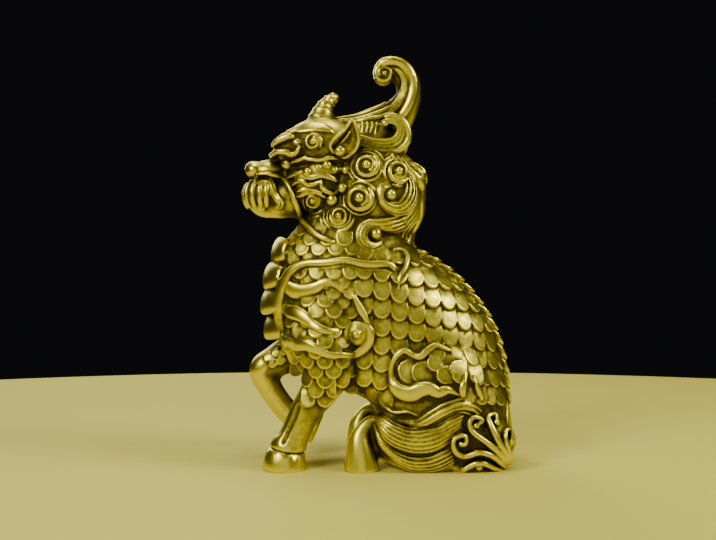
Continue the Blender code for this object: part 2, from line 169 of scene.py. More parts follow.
# %% A store for closed forms
class Clay:
    """Closed forms, in mm, that will be fused into one skin."""

    def __init__(self):
        self.points = []
        self.faces = []
        self.count = 0

    def add(self, points, faces):
        points = np.asarray(points, dtype=float)
        self.points.append(points)
        self.faces.extend([tuple(index + self.count for index in face) for face in faces])
        self.count += len(points)

    def mesh(self, name):
        mesh = bpy.data.meshes.new(name)
        mesh.from_pydata(np.vstack(self.points).tolist(), [], self.faces)
        return mesh


def ring_faces(rings, sides):
    """Quads between rings of points, with the first and last ring closed."""
    faces = []
    for ring in range(rings - 1):
        low, high = ring * sides, (ring + 1) * sides
        for k in range(sides):
            after = (k + 1) % sides
            faces.append((low + k, low + after, high + after, high + k))
    faces.append(tuple(range(sides))[::-1])
    faces.append(tuple(range((rings - 1) * sides, rings * sides)))
    return faces


def ball(clay, centre, radii, frame=None, sides=20, rings=12):
    """An ellipsoid; frame is a 3x3 matrix that turns it."""
    rise = np.linspace(-0.49 * math.pi, 0.49 * math.pi, rings)
    turn = np.arange(sides) * 2 * math.pi / sides
    unit = np.array([(math.cos(a) * math.cos(t), math.cos(a) * math.sin(t), math.sin(a))
                     for a in rise for t in turn])
    shaped = unit * np.array(radii, dtype=float)
    if frame is not None:
        shaped = shaped @ np.array(frame).T
    clay.add(shaped + np.array(centre, dtype=float), ring_faces(rings, sides))

# %% Paths and swept bars
def smooth_path(points, steps):
    """Catmull-Rom curve through the points, with steps samples a span."""
    data = np.array(points, dtype=float)
    ends = np.vstack([2 * data[0] - data[1], data, 2 * data[-1] - data[-2]])
    out = []
    for i in range(1, len(ends) - 2):
        before, start, stop, after = ends[i - 1:i + 3]
        for t in np.arange(steps) / steps:
            out.append(0.5 * (2 * start + (stop - before) * t
                              + (2 * before - 5 * start + 4 * stop - after) * t ** 2
                              + (3 * start - before - 3 * stop + after) * t ** 3))
    out.append(data[-1])
    return np.array(out)


def even_path(points, count):
    """The same curve with evenly spaced samples."""
    path = smooth_path(points, 12)
    steps = np.linalg.norm(np.diff(path[:, :2], axis=0), axis=1)
    reach = np.concatenate([[0], np.cumsum(steps)])
    wanted = np.linspace(0, reach[-1], count)
    return np.stack([np.interp(wanted, reach, path[:, i]) for i in range(path.shape[1])], axis=1)


def unit_rows(rows):
    return rows / np.maximum(np.linalg.norm(rows, axis=1, keepdims=True), 1e-9)


def bar(clay, centres, ups, half_widths, heights, sides=12, square=1.0):
    """A closed bar whose flat side keeps to the ups; square under 1 fills its corners."""
    centres, ups = np.asarray(centres, dtype=float), np.asarray(ups, dtype=float)
    along = unit_rows(np.gradient(centres, axis=0))
    across = unit_rows(np.cross(along, ups))
    raised = np.cross(across, along)
    turn = np.arange(sides) * 2 * math.pi / sides
    level = np.sign(np.cos(turn)) * np.abs(np.cos(turn)) ** square
    rise = np.sign(np.sin(turn)) * np.abs(np.sin(turn)) ** square
    wide = np.asarray(half_widths, dtype=float)[:, None, None] * level[None, :, None]
    tall = np.asarray(heights, dtype=float)[:, None, None] * rise[None, :, None]
    rings = centres[:, None, :] + across[:, None, :] * wide + raised[:, None, :] * tall
    clay.add(rings.reshape(-1, 3), ring_faces(len(centres), sides))


def limb(clay, chain, flatten=1.0, sides=24):
    """A round tapering bar through x, y, z, radius, squeezed in y by flatten."""
    path = smooth_path(chain, 8)
    ups = np.tile((0.0, 1.0, 0.0), (len(path), 1))
    bar(clay, path[:, :3], ups, path[:, 3], path[:, 3] * flatten, sides)

# %% [markdown]
# ## The base forms
# Under the carving, the figure is a seated animal: a trunk that leans forward, a heavy
# maned neck, a head with a short muzzle, four limbs, one horn and a tall crest. These are
# the same tables as in the solid's own source, so the finished skin keeps to the solid.

# %% Trunk, bottom to top: height, front edge, back edge, half width
TRUNK = (
    (-2.0, 5.0, 26.8, 11.4), (0.5, 3.5, 27.6, 12.2), (4.0, 2.0, 27.8, 13.0),
    (9.0, 0.0, 27.3, 13.4), (13.0, -2.5, 26.8, 13.2), (16.0, -9.0, 26.4, 12.6),
    (19.0, -16.0, 25.9, 12.2), (23.0, -20.2, 25.2, 12.2), (28.0, -22.6, 23.9, 12.3),
    (33.0, -23.4, 20.9, 12.3), (37.0, -23.3, 17.4, 12.0), (41.0, -22.4, 13.0, 11.4),
    (45.0, -20.8, 7.2, 10.2), (49.0, -17.6, 6.0, 9.2), (54.0, -13.5, 6.0, 8.6),
    (60.0, -9.5, 5.5, 8.0),
)
TRUNK_SIDES = 48


def trunk_section(height):
    """Front edge, back edge and half width of the trunk at a height."""
    table = np.array(TRUNK)
    return [float(np.interp(height, table[:, 0], table[:, i])) for i in (1, 2, 3)]


def trunk_outline(height, angle):
    """Point of the trunk's skin at an angle, where 0 is the back and 90 degrees a side."""
    front, back, half_width = trunk_section(height)
    middle, reach = (front + back) / 2, (back - front) / 2
    return Vector((middle + reach * math.cos(angle), half_width * math.sin(angle), height))


def trunk(clay):
    turns = [2 * math.pi * k / TRUNK_SIDES for k in range(TRUNK_SIDES)]
    points = [trunk_outline(row[0], turn) for row in TRUNK for turn in turns]
    clay.add(points, ring_faces(len(TRUNK), TRUNK_SIDES))

# %% Rounded masses: centre x, y, z and radii x, y, z
MIDDLE_MASSES = (
    (-1.0, 0.0, 55.6, 10.0, 10.6, 11.0), (-11.8, 0.0, 64.9, 9.3, 7.8, 7.4),
    (-23.0, 0.0, 60.6, 4.4, 4.0, 2.9), (-23.6, 0.0, 55.9, 4.7, 4.8, 4.7),
    (-17.0, 0.0, 55.6, 6.4, 6.2, 4.5), (-12.2, 0.0, 58.4, 8.0, 8.3, 7.2),
    (-2.0, 0.0, 67.0, 7.2, 6.6, 5.0), (-21.0, 0.0, 53.4, 4.8, 4.0, 2.3),
    (4.2, 0.0, 1.0, 3.6, 7.0, 5.0),
)
SIDE_MASSES = (
    (-17.6, 3.6, 65.6, 4.6, 3.2, 3.6), (-26.5, 1.5, 61.3, 1.9, 1.7, 1.8),
    (10.5, 8.8, 16.0, 10.8, 5.0, 10.6), (9.5, 9.6, 5.0, 10.5, 4.4, 5.6),
    (19.0, 8.0, 5.5, 8.2, 5.5, 6.0), (-10.5, 7.4, 28.0, 8.6, 5.6, 9.5),
    (6.6, 3.4, 59.4, 2.8, 2.8, 2.6), (21.6, 6.8, 4.6, 4.7, 5.2, 5.8),
    (2.2, 9.4, 7.0, 3.6, 4.2, 5.2),
)

# %% Limbs, crest and horn as chains of x, y, z, radius
NEAR_FORELEG = (
    (-11.4, -7.2, 31.0, 4.4), (-11.2, -8.2, 26.0, 6.0), (-10.4, -9.0, 20.5, 5.2),
    (-12.2, -9.2, 16.0, 3.9), (-14.9, -9.0, 12.0, 3.2), (-16.8, -9.0, 7.9, 3.0),
    (-18.3, -9.0, 4.4, 3.4),
)
FAR_FORELEG = (
    (-9.5, 7.4, 31.0, 4.4), (-12.0, 8.2, 27.0, 6.0), (-17.0, 8.4, 23.2, 4.6),
    (-22.4, 8.2, 20.2, 3.6), (-25.2, 8.0, 18.2, 3.2), (-23.6, 8.0, 14.2, 2.7),
    (-20.8, 8.0, 10.2, 2.6), (-18.0, 8.0, 7.6, 2.7),
)
HIND_HOOF = (
    (-3.7, 10.2, -0.6, 3.8), (-4.0, 10.2, 3.2, 3.1), (-4.1, 10.2, 6.2, 2.3),
    (-3.4, 10.1, 8.2, 1.6), (-1.9, 9.7, 9.6, 1.4), (1.4, 8.8, 9.8, 1.8),
)
NEAR_HOOF = ((-19.3, -9.0, -0.6, 4.5), (-19.3, -9.0, 1.2, 4.45), (-18.8, -9.0, 3.9, 3.75),
             (-18.2, -9.0, 6.2, 3.1))
FAR_HOOF = ((-18.4, 8.0, 7.8, 2.4), (-16.0, 8.0, 6.8, 3.2), (-13.2, 8.0, 5.6, 3.9))
CREST = (
    (2.2, 0.0, 68.4, 3.2), (4.5, 0.0, 71.9, 2.8), (6.0, 0.0, 75.3, 2.6),
    (6.2, 0.0, 78.6, 2.6), (5.2, 0.0, 81.2, 2.6), (3.0, 0.0, 82.9, 2.3),
    (1.2, 0.0, 82.9, 2.1), (0.5, 0.0, 81.5, 1.9), (1.6, 0.0, 80.7, 1.6),
)
ROLL = (
    (-6.5, 5.0, 66.2, 0.9), (-3.7, 5.0, 66.2, 1.1), (-1.0, 5.0, 65.6, 1.2), (1.6, 5.0, 65.4, 1.2),
    (3.8, 4.9, 66.1, 1.2), (4.8, 4.8, 67.6, 1.2), (4.8, 4.8, 69.2, 1.15), (4.0, 4.8, 70.5, 1.1),
    (2.9, 5.0, 71.1, 1.0), (1.6, 5.1, 71.1, 0.8), (1.0, 5.2, 70.6, 0.7),
)
CREST_FOOT = (
    (-10.0, 0.0, 70.6, 2.0), (-5.1, 0.0, 70.1, 2.5), (-0.9, 0.0, 71.0, 3.0),
    (2.6, 0.0, 73.2, 2.6), (5.4, 0.0, 76.4, 2.0),
)
HORN = (
    (-12.4, 0.0, 71.2, 2.9), (-12.1, 0.0, 72.7, 2.65), (-11.7, 0.0, 74.1, 2.0),
    (-10.9, 0.0, 75.4, 1.6), (-9.8, 0.0, 76.4, 1.2), (-8.5, 0.0, 77.0, 0.75),
)

# %% Lay the base forms and fuse them
BASE_VOXEL = 0.45
BASE_SMOOTHING = 9


def work_object(name, mesh):
    """A passing object, in mm, that leaves the scene once it has been used."""
    thing = bpy.data.objects.new(name, mesh)
    bpy.context.scene.collection.objects.link(thing)
    return thing


def finished_mesh(thing, name):
    """The object's mesh with its modifiers applied; the object itself goes."""
    bpy.context.view_layer.update()
    seen = thing.evaluated_get(bpy.context.evaluated_depsgraph_get())
    mesh = bpy.data.meshes.new_from_object(seen)
    mesh.name = name
    old = thing.data
    bpy.data.objects.remove(thing)
    bpy.data.meshes.remove(old)
    return mesh


def fused(mesh, voxel, smoothing, name):
    """One skin around overlapping closed forms, with softened joins."""
    thing = work_object(name, mesh)
    remesh = thing.modifiers.new("fuse", "REMESH")
    remesh.mode = "VOXEL"
    remesh.voxel_size = voxel
    soften = thing.modifiers.new("soften", "SMOOTH")
    soften.factor = 0.5
    soften.iterations = smoothing
    return finished_mesh(thing, name)


def base_forms(clay):
    trunk(clay)
    for x, y, z, rx, ry, rz in MIDDLE_MASSES:
        ball(clay, (x, y, z), (rx, ry, rz), sides=32, rings=20)
    for side in SIDES:
        for x, y, z, rx, ry, rz in SIDE_MASSES:
            ball(clay, (x, side * y, z), (rx, ry, rz), sides=32, rings=20)
        limb(clay, [(x, side * y, z, r) for x, y, z, r in HIND_HOOF])
        limb(clay, [(x, side * y, z, r) for x, y, z, r in ROLL])
    for chain in (NEAR_FORELEG, FAR_FORELEG, NEAR_HOOF, FAR_HOOF, HORN):
        limb(clay, chain)
    limb(clay, CREST, flatten=0.85)
    limb(clay, CREST_FOOT, flatten=0.9)


base_clay = Clay()
base_forms(base_clay)
base = fused(base_clay.mesh("base_forms"), BASE_VOXEL, BASE_SMOOTHING, "base_skin")
print("Base skin:", len(base.vertices), "points")

# %% [markdown]
# ## Hollows
# A carver also takes wax away: around the eyes, in the nostrils and in the dish of the
# ear. Each hollow here is a soft dent. Points near its centre move inwards, most of all
# at the centre.

# %% Press soft dents into the base
DENTS = (
    (-18.9, 6.6, 62.3, 3.0, 0.9), (-15.6, 7.4, 62.0, 2.4, 0.5), (-20.6, 4.6, 59.6, 2.2, 0.4),
    (-25.3, 2.4, 60.3, 0.9, 0.9), (-14.0, 8.0, 56.6, 2.6, 0.5), (1.6, 6.0, 67.4, 2.8, 0.8),
    (-5.0, 7.0, 66.8, 2.4, 0.5), (-1.8, 6.2, 69.0, 3.6, 1.1),
)


def read_points(mesh):
    flat = np.empty(len(mesh.vertices) * 3)
    mesh.vertices.foreach_get("co", flat)
    return flat.reshape(-1, 3)


def write_points(mesh, points):
    mesh.vertices.foreach_set("co", np.ascontiguousarray(points, dtype=float).ravel())
    mesh.update()


def point_normals(mesh):
    flat = np.empty(len(mesh.vertices) * 3)
    mesh.vertex_normals.foreach_get("vector", flat)
    return flat.reshape(-1, 3)


def press(mesh, dents):
    """Push the skin in around each x, y, z, radius, depth, on both sides."""
    points, normals = read_points(mesh), point_normals(mesh)
    moved = points.copy()
    for x, y, z, radius, depth in dents:
        for side in SIDES:
            away = np.linalg.norm(points - np.array((x, side * y, z)), axis=1) / radius
            share = np.clip(1 - away ** 2, 0, 1) ** 2
            moved -= normals * (share * depth)[:, None]
    write_points(mesh, moved)


press(base, DENTS)

# %% Find the skin with rays
RAY_START = 60
NEAREST_FROM = 2


class Skin:
    """The fused base, on which carving is laid."""

    def __init__(self, mesh):
        mesh.calc_loop_triangles()
        corners = [tuple(tri.vertices) for tri in mesh.loop_triangles]
        self.tree = BVHTree.FromPolygons([v.co.copy() for v in mesh.vertices], corners)

    def cast(self, start, heading):
        """First hit of a ray and its normal, or None."""
        point, normal, _, _ = self.tree.ray_cast(Vector(start), Vector(heading))
        return None if point is None else (point, normal)

    def at(self, x, z, side):
        """Skin seen from a side at x, z; beyond the outline, its nearest point."""
        found = self.cast((x, side * RAY_START, z), (0, -side, 0))
        if found:
            return found
        point, normal, _, _ = self.tree.find_nearest(Vector((x, side * NEAREST_FROM, z)))
        return point, normal

    def round_axis(self, x, heights, angles, side):
        """Points and normals met by level rays to an upright axis at x; angle 0 is the back."""
        points, normals = [], []
        for height, angle in zip(heights, angles):
            middle = Vector((x, 0, height))
            heading = Vector((math.cos(angle), side * math.sin(angle), 0))
            found = self.cast(middle + heading * RAY_START, -heading)
            if found:
                points.append(found[0])
                normals.append(found[1])
        return np.array(points), unit_rows(np.array(normals))

    def follow(self, path, side, ease=0):
        """Points and normals of the skin along x, z rows; ease evens out their depth."""
        hits = [self.at(row[0], row[1], side) for row in path]
        points = np.array([hit[0] for hit in hits])
        normals = np.array([hit[1] for hit in hits])
        for _ in range(4):
            inner = (normals[:-2] + normals[1:-1] + normals[2:]) / 3
            normals = np.vstack([normals[:1], inner, normals[-1:]])
        for _ in range(ease):
            points[1:-1, 1] = (points[:-2, 1] + points[1:-1, 1] + points[2:, 1]) / 3
        return points, unit_rows(normals)


skin = Skin(base)

# %% [markdown]
# ## Three small Geometry Nodes tools
# The carving repeats three things hundreds of times: round strands of hair, scales and
# beads. Each has a node tree with named inputs. The script only says where they go: a
# strand follows a row of points, and a scale or bead sits on one point.

# %% Build and run node trees
def new_tree(name, inputs):
    """A geometry node group with named inputs; gives the group, its start and its end."""
    tree = bpy.data.node_groups.new(name, "GeometryNodeTree")
    tree.interface.new_socket("Geometry", in_out="INPUT", socket_type="NodeSocketGeometry")
    for label, kind, value in inputs:
        socket = tree.interface.new_socket(label, in_out="INPUT", socket_type=kind)
        if value is not None:
            socket.default_value = value
    tree.interface.new_socket("Geometry", in_out="OUTPUT", socket_type="NodeSocketGeometry")
    return tree, tree.nodes.new("NodeGroupInput"), tree.nodes.new("NodeGroupOutput")


def finish_tree(tree, start, stop, last):
    """End a tree in Realize Instances and Set Material."""
    real = tree.nodes.new("GeometryNodeRealizeInstances")
    paint = tree.nodes.new("GeometryNodeSetMaterial")
    tree.links.new(last, real.inputs["Geometry"])
    tree.links.new(real.outputs["Geometry"], paint.inputs["Geometry"])
    tree.links.new(start.outputs["Material"], paint.inputs["Material"])
    tree.links.new(paint.outputs["Geometry"], stop.inputs["Geometry"])


def named(tree, name, kind):
    """A node that reads a named attribute of the points."""
    node = tree.nodes.new("GeometryNodeInputNamedAttribute")
    node.data_type = kind
    node.inputs["Name"].default_value = name
    return node.outputs["Attribute"]


def grow(tree, mesh, values):
    """Run a tree on a mesh with the given input values and return the plain result."""
    thing = work_object(mesh.name, mesh)
    modifier = thing.modifiers.new(tree.name, "NODES")
    modifier.node_group = tree
    for item in tree.interface.items_tree:
        if item.in_out == "INPUT" and item.name in values:
            modifier[item.identifier] = values[item.name]
    return finished_mesh(thing, mesh.name)


def add_attribute(mesh, name, kind, rows):
    """Store one value for each point of a mesh."""
    layer = mesh.attributes.new(name, kind, "POINT")
    key = "value" if kind == "FLOAT" else "vector"
    layer.data.foreach_set(key, np.asarray(rows, dtype=float).ravel())

# %% The strand tree
wax = bpy.data.materials.new("wax")
strand_tree, start, stop = new_tree("strands", (
    ("Sides", "NodeSocketInt", 8), ("Thickness", "NodeSocketFloat", 1.0),
    ("Material", "NodeSocketMaterial", None)))
to_curve = strand_tree.nodes.new("GeometryNodeMeshToCurve")
profile = strand_tree.nodes.new("GeometryNodeCurvePrimitiveCircle")
sweep = strand_tree.nodes.new("GeometryNodeCurveToMesh")
thickness = strand_tree.nodes.new("ShaderNodeMath")
thickness.operation = "MULTIPLY"
profile.inputs["Radius"].default_value = 1.0
sweep.inputs["Fill Caps"].default_value = True
strand_tree.links.new(start.outputs["Geometry"], to_curve.inputs["Mesh"])
strand_tree.links.new(start.outputs["Sides"], profile.inputs["Resolution"])
strand_tree.links.new(named(strand_tree, "strand_radius", "FLOAT"), thickness.inputs[0])
strand_tree.links.new(start.outputs["Thickness"], thickness.inputs[1])
strand_tree.links.new(to_curve.outputs["Curve"], sweep.inputs["Curve"])
strand_tree.links.new(profile.outputs["Curve"], sweep.inputs["Profile Curve"])
strand_tree.links.new(thickness.outputs["Value"], sweep.inputs["Scale"])
finish_tree(strand_tree, start, stop, sweep.outputs["Mesh"])

# %% The bead tree
bead_tree, start, stop = new_tree("beads", (
    ("Detail", "NodeSocketInt", 3), ("Size", "NodeSocketFloat", 1.0),
    ("Material", "NodeSocketMaterial", None)))
sphere = bead_tree.nodes.new("GeometryNodeMeshIcoSphere")
place = bead_tree.nodes.new("GeometryNodeInstanceOnPoints")
size = bead_tree.nodes.new("ShaderNodeMath")
size.operation = "MULTIPLY"
bead_tree.links.new(start.outputs["Detail"], sphere.inputs["Subdivisions"])
bead_tree.links.new(start.outputs["Size"], size.inputs[0])
bead_tree.links.new(named(bead_tree, "bead_radius", "FLOAT"), size.inputs[1])
bead_tree.links.new(start.outputs["Geometry"], place.inputs["Points"])
bead_tree.links.new(sphere.outputs["Mesh"], place.inputs["Instance"])
bead_tree.links.new(size.outputs["Value"], place.inputs["Scale"])
finish_tree(bead_tree, start, stop, place.outputs["Instances"])

# %% One scale, a shield with straight sides, a round lower edge and a domed face
TILE_TOP = 0.5
TILE_SINK = 0.9


def scale_tile():
    """A scale of half width 1 and half height 1; +Y is up the body and +Z is outwards."""
    bend = np.radians(np.linspace(0, -180, 13))
    outline = [(1.0, 1.4), (1.0, 0.9), (1.0, 0.4)]
    outline += [(math.cos(a), -0.15 + 0.85 * math.sin(a)) for a in bend]
    outline += [(-1.0, 0.4), (-1.0, 0.9), (-1.0, 1.4)]
    outline = np.array(outline)
    middle = np.array((0.0, 0.35))
    rings = ((0.97, -1.2), (1.0, 0.08), (0.975, 0.34), (0.92, 0.42), (0.84, 0.36), (0.40, 0.50))
    points = []
    for share, height in rings:
        for row in outline:
            x, y = middle + (row - middle) * share
            points.append((x, y, height - TILE_SINK * max(0.0, y - TILE_TOP)))
    count = len(outline)
    mesh = bpy.data.meshes.new("scale_tile")
    mesh.from_pydata(points, [], ring_faces(len(rings), count))
    bm = bmesh.new()
    bm.from_mesh(mesh)
    bmesh.ops.recalc_face_normals(bm, faces=bm.faces)
    bm.to_mesh(mesh)
    bm.free()
    return mesh


tile = bpy.data.objects.new("scale_tile", scale_tile())
print("One scale:", len(tile.data.polygons), "faces")

# %% The scale tree
scale_tree, start, stop = new_tree("scales", (
    ("Tile", "NodeSocketObject", None), ("Material", "NodeSocketMaterial", None)))
tile_info = scale_tree.nodes.new("GeometryNodeObjectInfo")
lay = scale_tree.nodes.new("GeometryNodeInstanceOnPoints")
turn = scale_tree.nodes.new("FunctionNodeAxesToRotation")
turn.primary_axis = "Z"
turn.secondary_axis = "Y"
scale_tree.links.new(start.outputs["Tile"], tile_info.inputs["Object"])
scale_tree.links.new(start.outputs["Geometry"], lay.inputs["Points"])
scale_tree.links.new(tile_info.outputs["Geometry"], lay.inputs["Instance"])
scale_tree.links.new(named(scale_tree, "facing", "FLOAT_VECTOR"), turn.inputs[0])
scale_tree.links.new(named(scale_tree, "upward", "FLOAT_VECTOR"), turn.inputs[1])
scale_tree.links.new(turn.outputs["Rotation"], lay.inputs["Rotation"])
scale_tree.links.new(named(scale_tree, "tile_size", "FLOAT_VECTOR"), lay.inputs["Scale"])
finish_tree(scale_tree, start, stop, lay.outputs["Instances"])

# %% Stores for what the trees place
class Marks:
    """Strands, scales and beads that wait for their node trees."""

    def __init__(self):
        self.strands = []
        self.scales = []
        self.beads = []
        self.bars = Clay()

    def strand(self, points, radii):
        self.strands.append((np.asarray(points), np.asarray(radii)))

    def bead(self, point, radius):
        self.beads.append((tuple(point), radius))

    def scale(self, point, facing, upward, size):
        self.scales.append((tuple(point), tuple(facing), tuple(upward), tuple(size)))


marks = Marks()

# %% [markdown]
# ## Strands, straps and curls
# Hair is carved as bundles. Each bundle has an outer and an inner edge, and the strands
# between them keep an even share of the room, so they crowd together where it narrows.
# A strap is one flat raised line with its own width at each point.

# %% Helpers that lay hair on the skin
def swell(count, blunt=0.35):
    """Thickness along a strand: fine at both ends, full between."""
    return blunt + (1 - blunt) * np.sin(np.pi * np.linspace(0, 1, count)) ** 0.5


THINNEST = 0.16
THICKEST = 1.2


def bundle(outer, inner, count, side, fullness=0.53, rise=0.5, samples=64, blunt=0.35, crown=0, ease=0):
    """Strands between an outer and an inner edge; crown is how far a lock bulges, in mm."""
    outer, inner = even_path(outer, samples), even_path(inner, samples)
    width = np.linalg.norm(outer - inner, axis=1)
    room = width / max(count - 1, 1)
    bulge = np.minimum(crown, 0.42 * width) * swell(samples, 0.2)
    if crown:
        points, normals = skin.follow((outer + inner) / 2, side, ease)
        bar(marks.bars, points, normals, width / 2, bulge)
    for i in range(count):
        share = i / max(count - 1, 1)
        points, normals = skin.follow(outer + (inner - outer) * share, side, ease)
        radii = np.clip(room * fullness, THINNEST, THICKEST) * swell(samples, blunt)
        lift = bulge * math.sqrt(1 - 0.9 * (2 * share - 1) ** 2)
        marks.strand(points + normals * (radii * rise + lift)[:, None], radii)


def hoops(outer, inner, count, side, depth, radius, samples=48):
    """Strands between two x, z paths that all stand at one depth, clear of the skin."""
    outer, inner = even_path(outer, samples), even_path(inner, samples)
    for i in range(count):
        path = outer + (inner - outer) * i / max(count - 1, 1)
        points = np.stack([path[:, 0], np.full(samples, side * depth), path[:, 1]], axis=1)
        marks.strand(points, radius * swell(samples, 0.5))


def inset(outer, inner, low, high):
    """The part of a bundle's width between two shares of it."""
    outer, inner = even_path(outer, 24), even_path(inner, 24)
    return outer + (inner - outer) * low, outer + (inner - outer) * high


def line(points, radius, side, rise=0.3, samples=40, blunt=0.4):
    """One thin round strand through x, z points."""
    path = even_path(points, samples)
    points, normals = skin.follow(path, side)
    radii = radius * swell(samples, blunt)
    marks.strand(points + normals * (radii * rise)[:, None], radii)


def strap(points, side, height=0.8, rise=0.25, samples=10):
    """A flat raised line through x, z, half width points."""
    path = smooth_path(points, samples)
    places, normals = skin.follow(path, side)
    widths = np.maximum(path[:, 2], 0.12)
    tall = height * np.minimum(1, 0.25 + widths / widths.max())
    centres = places + normals * (tall * rise)[:, None]
    bar(marks.bars, centres, normals, widths, tall, sides=16, square=0.72)

# %% Beads, and a curl of hair with a bead in its eye
def skin_bead(x, z, radius, rise, side):
    """A bead that stands up from the skin by rise, in mm."""
    point, normal = skin.at(x, z, side)
    marks.bead(point + normal * rise, radius)


def patch_frame(out):
    """Axes on a surface patch: x roughly back, y roughly up, z out of it."""
    out = Vector(out).normalized()
    across = Vector((1, 0, 0))
    across = (across - out * across.dot(out)).normalized()
    upward = out.cross(across)
    if upward.z < 0:
        upward = -upward
    return Matrix((across, upward, out)).transposed()


def curl(point, out, radius, turns, start, dome=0.5, thick=0.23, bead=0.34):
    """A snail curl on a dome. Positive turns wind in clockwise, seen from outside."""
    frame = patch_frame(out)
    out = Vector(out).normalized()
    point = Vector(point)
    ball(marks.bars, point, (radius * 0.95, radius * 0.95, dome * radius * 0.8), frame)
    samples = int(30 * abs(turns)) + 14
    share = np.linspace(0, 1, samples)
    reach = radius * (0.92 - 0.44 * share ** 0.9)
    angle = math.radians(start) - 2 * math.pi * turns * share
    lift = dome * radius * np.sqrt(np.clip(1 - (reach / radius) ** 2, 0, 1)) * 0.9
    local = np.stack([reach * np.cos(angle), reach * np.sin(angle), lift], axis=1)
    centres = local @ np.array(frame).T + np.array(point)
    radii = radius * (thick - 0.10 * share) * np.minimum(1, 0.4 + 6 * share)
    marks.strand(centres, radii)
    marks.bead(point + out * (dome * radius * 0.85), bead * radius)


def side_curl(x, z, radius, turns, start, side, **shape):
    """A curl on the skin at x, z that faces out to the side."""
    point, normal = skin.at(x, z, side)
    out = (normal + Vector((0, side * 1.2, 0))).normalized()
    curl(point, out, radius, turns, start, **shape)

# %% [markdown]
# ## The mane
# Snail curls sit around the cheek. Behind them the hair falls in long locks that roll up
# at the nape, and one big roll turns over at the foot of the crest.

# %% Curls on the side of the mane: x, z, radius, turns, start angle
SIDE_CURLS = (
    (-2.7, 61.1, 2.7, 1.35, 60), (3.6, 60.0, 2.5, 1.3, -30), (-4.1, 54.7, 2.9, 1.35, 50),
    (-8.3, 51.1, 2.0, -1.4, 170), (-13.7, 54.4, 1.7, 1.4, 80),
    (-13.6, 66.2, 1.9, -1.35, -40), (-16.8, 66.1, 0.9, 1.2, 200),
)
ROLL_RIM = ((-4.1, 66.0), (-1.0, 65.0), (0.6, 64.6), (2.5, 64.6), (4.1, 65.0), (5.3, 66.1), (5.9, 67.5),
            (5.7, 69.1), (5.0, 70.6), (3.7, 71.6), (2.2, 72.0), (1.0, 71.5))
ROLL_OUTER = ((-4.1, 66.6), (-1.2, 65.8), (0.5, 65.5), (2.5, 65.6), (4.0, 66.4), (4.8, 67.7), (4.8, 69.2),
              (4.2, 70.4), (3.2, 71.1), (2.2, 71.2), (1.4, 71.0))
ROLL_INNER = ((-4.1, 67.8), (-1.6, 67.0), (0.4, 66.8), (2.4, 67.1), (3.4, 67.9), (3.7, 68.9), (3.5, 69.7),
              (2.9, 70.2), (2.2, 70.4), (1.7, 70.4), (1.3, 70.4))
ROLL_DEPTH = 5.9
ROLL_RIM_RADIUS = 0.75
ROLL_HAIR_RADIUS = 0.38
NAPE_OUTER = ((0.2, 57.6), (-0.5, 55.8), (-0.1, 53.7), (1.4, 52.1), (3.4, 51.5), (5.4, 52.1), (6.8, 53.7),
              (7.4, 55.8), (7.2, 58.2), (6.3, 60.6))
NAPE_INNER = ((1.8, 57.0), (0.9, 56.0), (0.9, 54.8), (1.8, 53.9), (3.2, 53.8), (4.2, 54.6), (4.9, 55.8),
              (5.2, 57.2), (5.0, 58.6), (4.6, 60.0))
LOW_OUTER = ((0.6, 45.1), (-1.5, 44.1), (-3.7, 44.9), (-4.7, 46.7), (-4.1, 48.9), (-2.3, 50.3),
             (-0.1, 50.5), (3.0, 51.0), (5.4, 52.0))
LOW_INNER = ((0.4, 46.2), (-1.1, 45.8), (-2.2, 46.3), (-2.5, 47.3), (-2.0, 48.2), (-1.0, 48.6),
             (1.2, 48.2), (3.6, 48.3), (6.2, 49.4))
OUTER_LOCK = ((7.7, 59.4, 0.7), (8.3, 56.8, 1.3), (8.3, 53.7, 1.5), (7.9, 50.6, 1.5), (6.7, 47.9, 1.2),
               (5.5, 45.6, 0.5))
LOCK_BEADS = ((2.0, 55.3, 1.05), (-1.1, 47.3, 1.15))

for side in SIDES:
    for x, z, radius, turns, angle in SIDE_CURLS:
        side_curl(x, z, radius, turns, angle, side)
    hoops(ROLL_RIM, ROLL_RIM, 1, side, ROLL_DEPTH, ROLL_RIM_RADIUS)
    hoops(ROLL_OUTER, ROLL_INNER, 3, side, ROLL_DEPTH + 0.2, ROLL_HAIR_RADIUS)
    bundle(NAPE_OUTER, NAPE_INNER, 5, side, crown=0.7)
    bundle(LOW_OUTER, LOW_INNER, 5, side, crown=0.7)
    strap(OUTER_LOCK, side, 0.9)
    for x, z, radius in LOCK_BEADS:
        skin_bead(x, z, radius, 0.6 * radius, side)
    marks.bead((1.1, side * 5.6, 70.4), 0.85)
print("Mane strands:", len(marks.strands))

# %% Fine hair in rings round the curls, each ring kept where it is nearest to its own curl
HAIR_GAP = 0.72
HAIR_ROWS = 6
HAIR_RADIUS = 0.36
HAIR_CURLS = 5
HAIR_FIELD = (
    (-12.6, 58.0), (-12.6, 56.0), (-16.2, 55.8), (-15.8, 52.8), (-13.6, 50.4), (-10.8, 48.8),
    (-8.0, 47.8), (-5.3, 46.6), (-4.4, 43.8), (4.0, 44.4), (7.5, 49.0), (8.4, 54.0), (8.2, 60.0),
    (7.0, 63.0), (5.0, 63.9), (-3.0, 65.4), (-7.0, 63.3), (-8.6, 62.3), (-7.6, 60.0), (-8.6, 58.0),
)
HAIR_BALLS = ((-9.6, 54.4, 1.4), (-7.3, 56.9, 1.3))


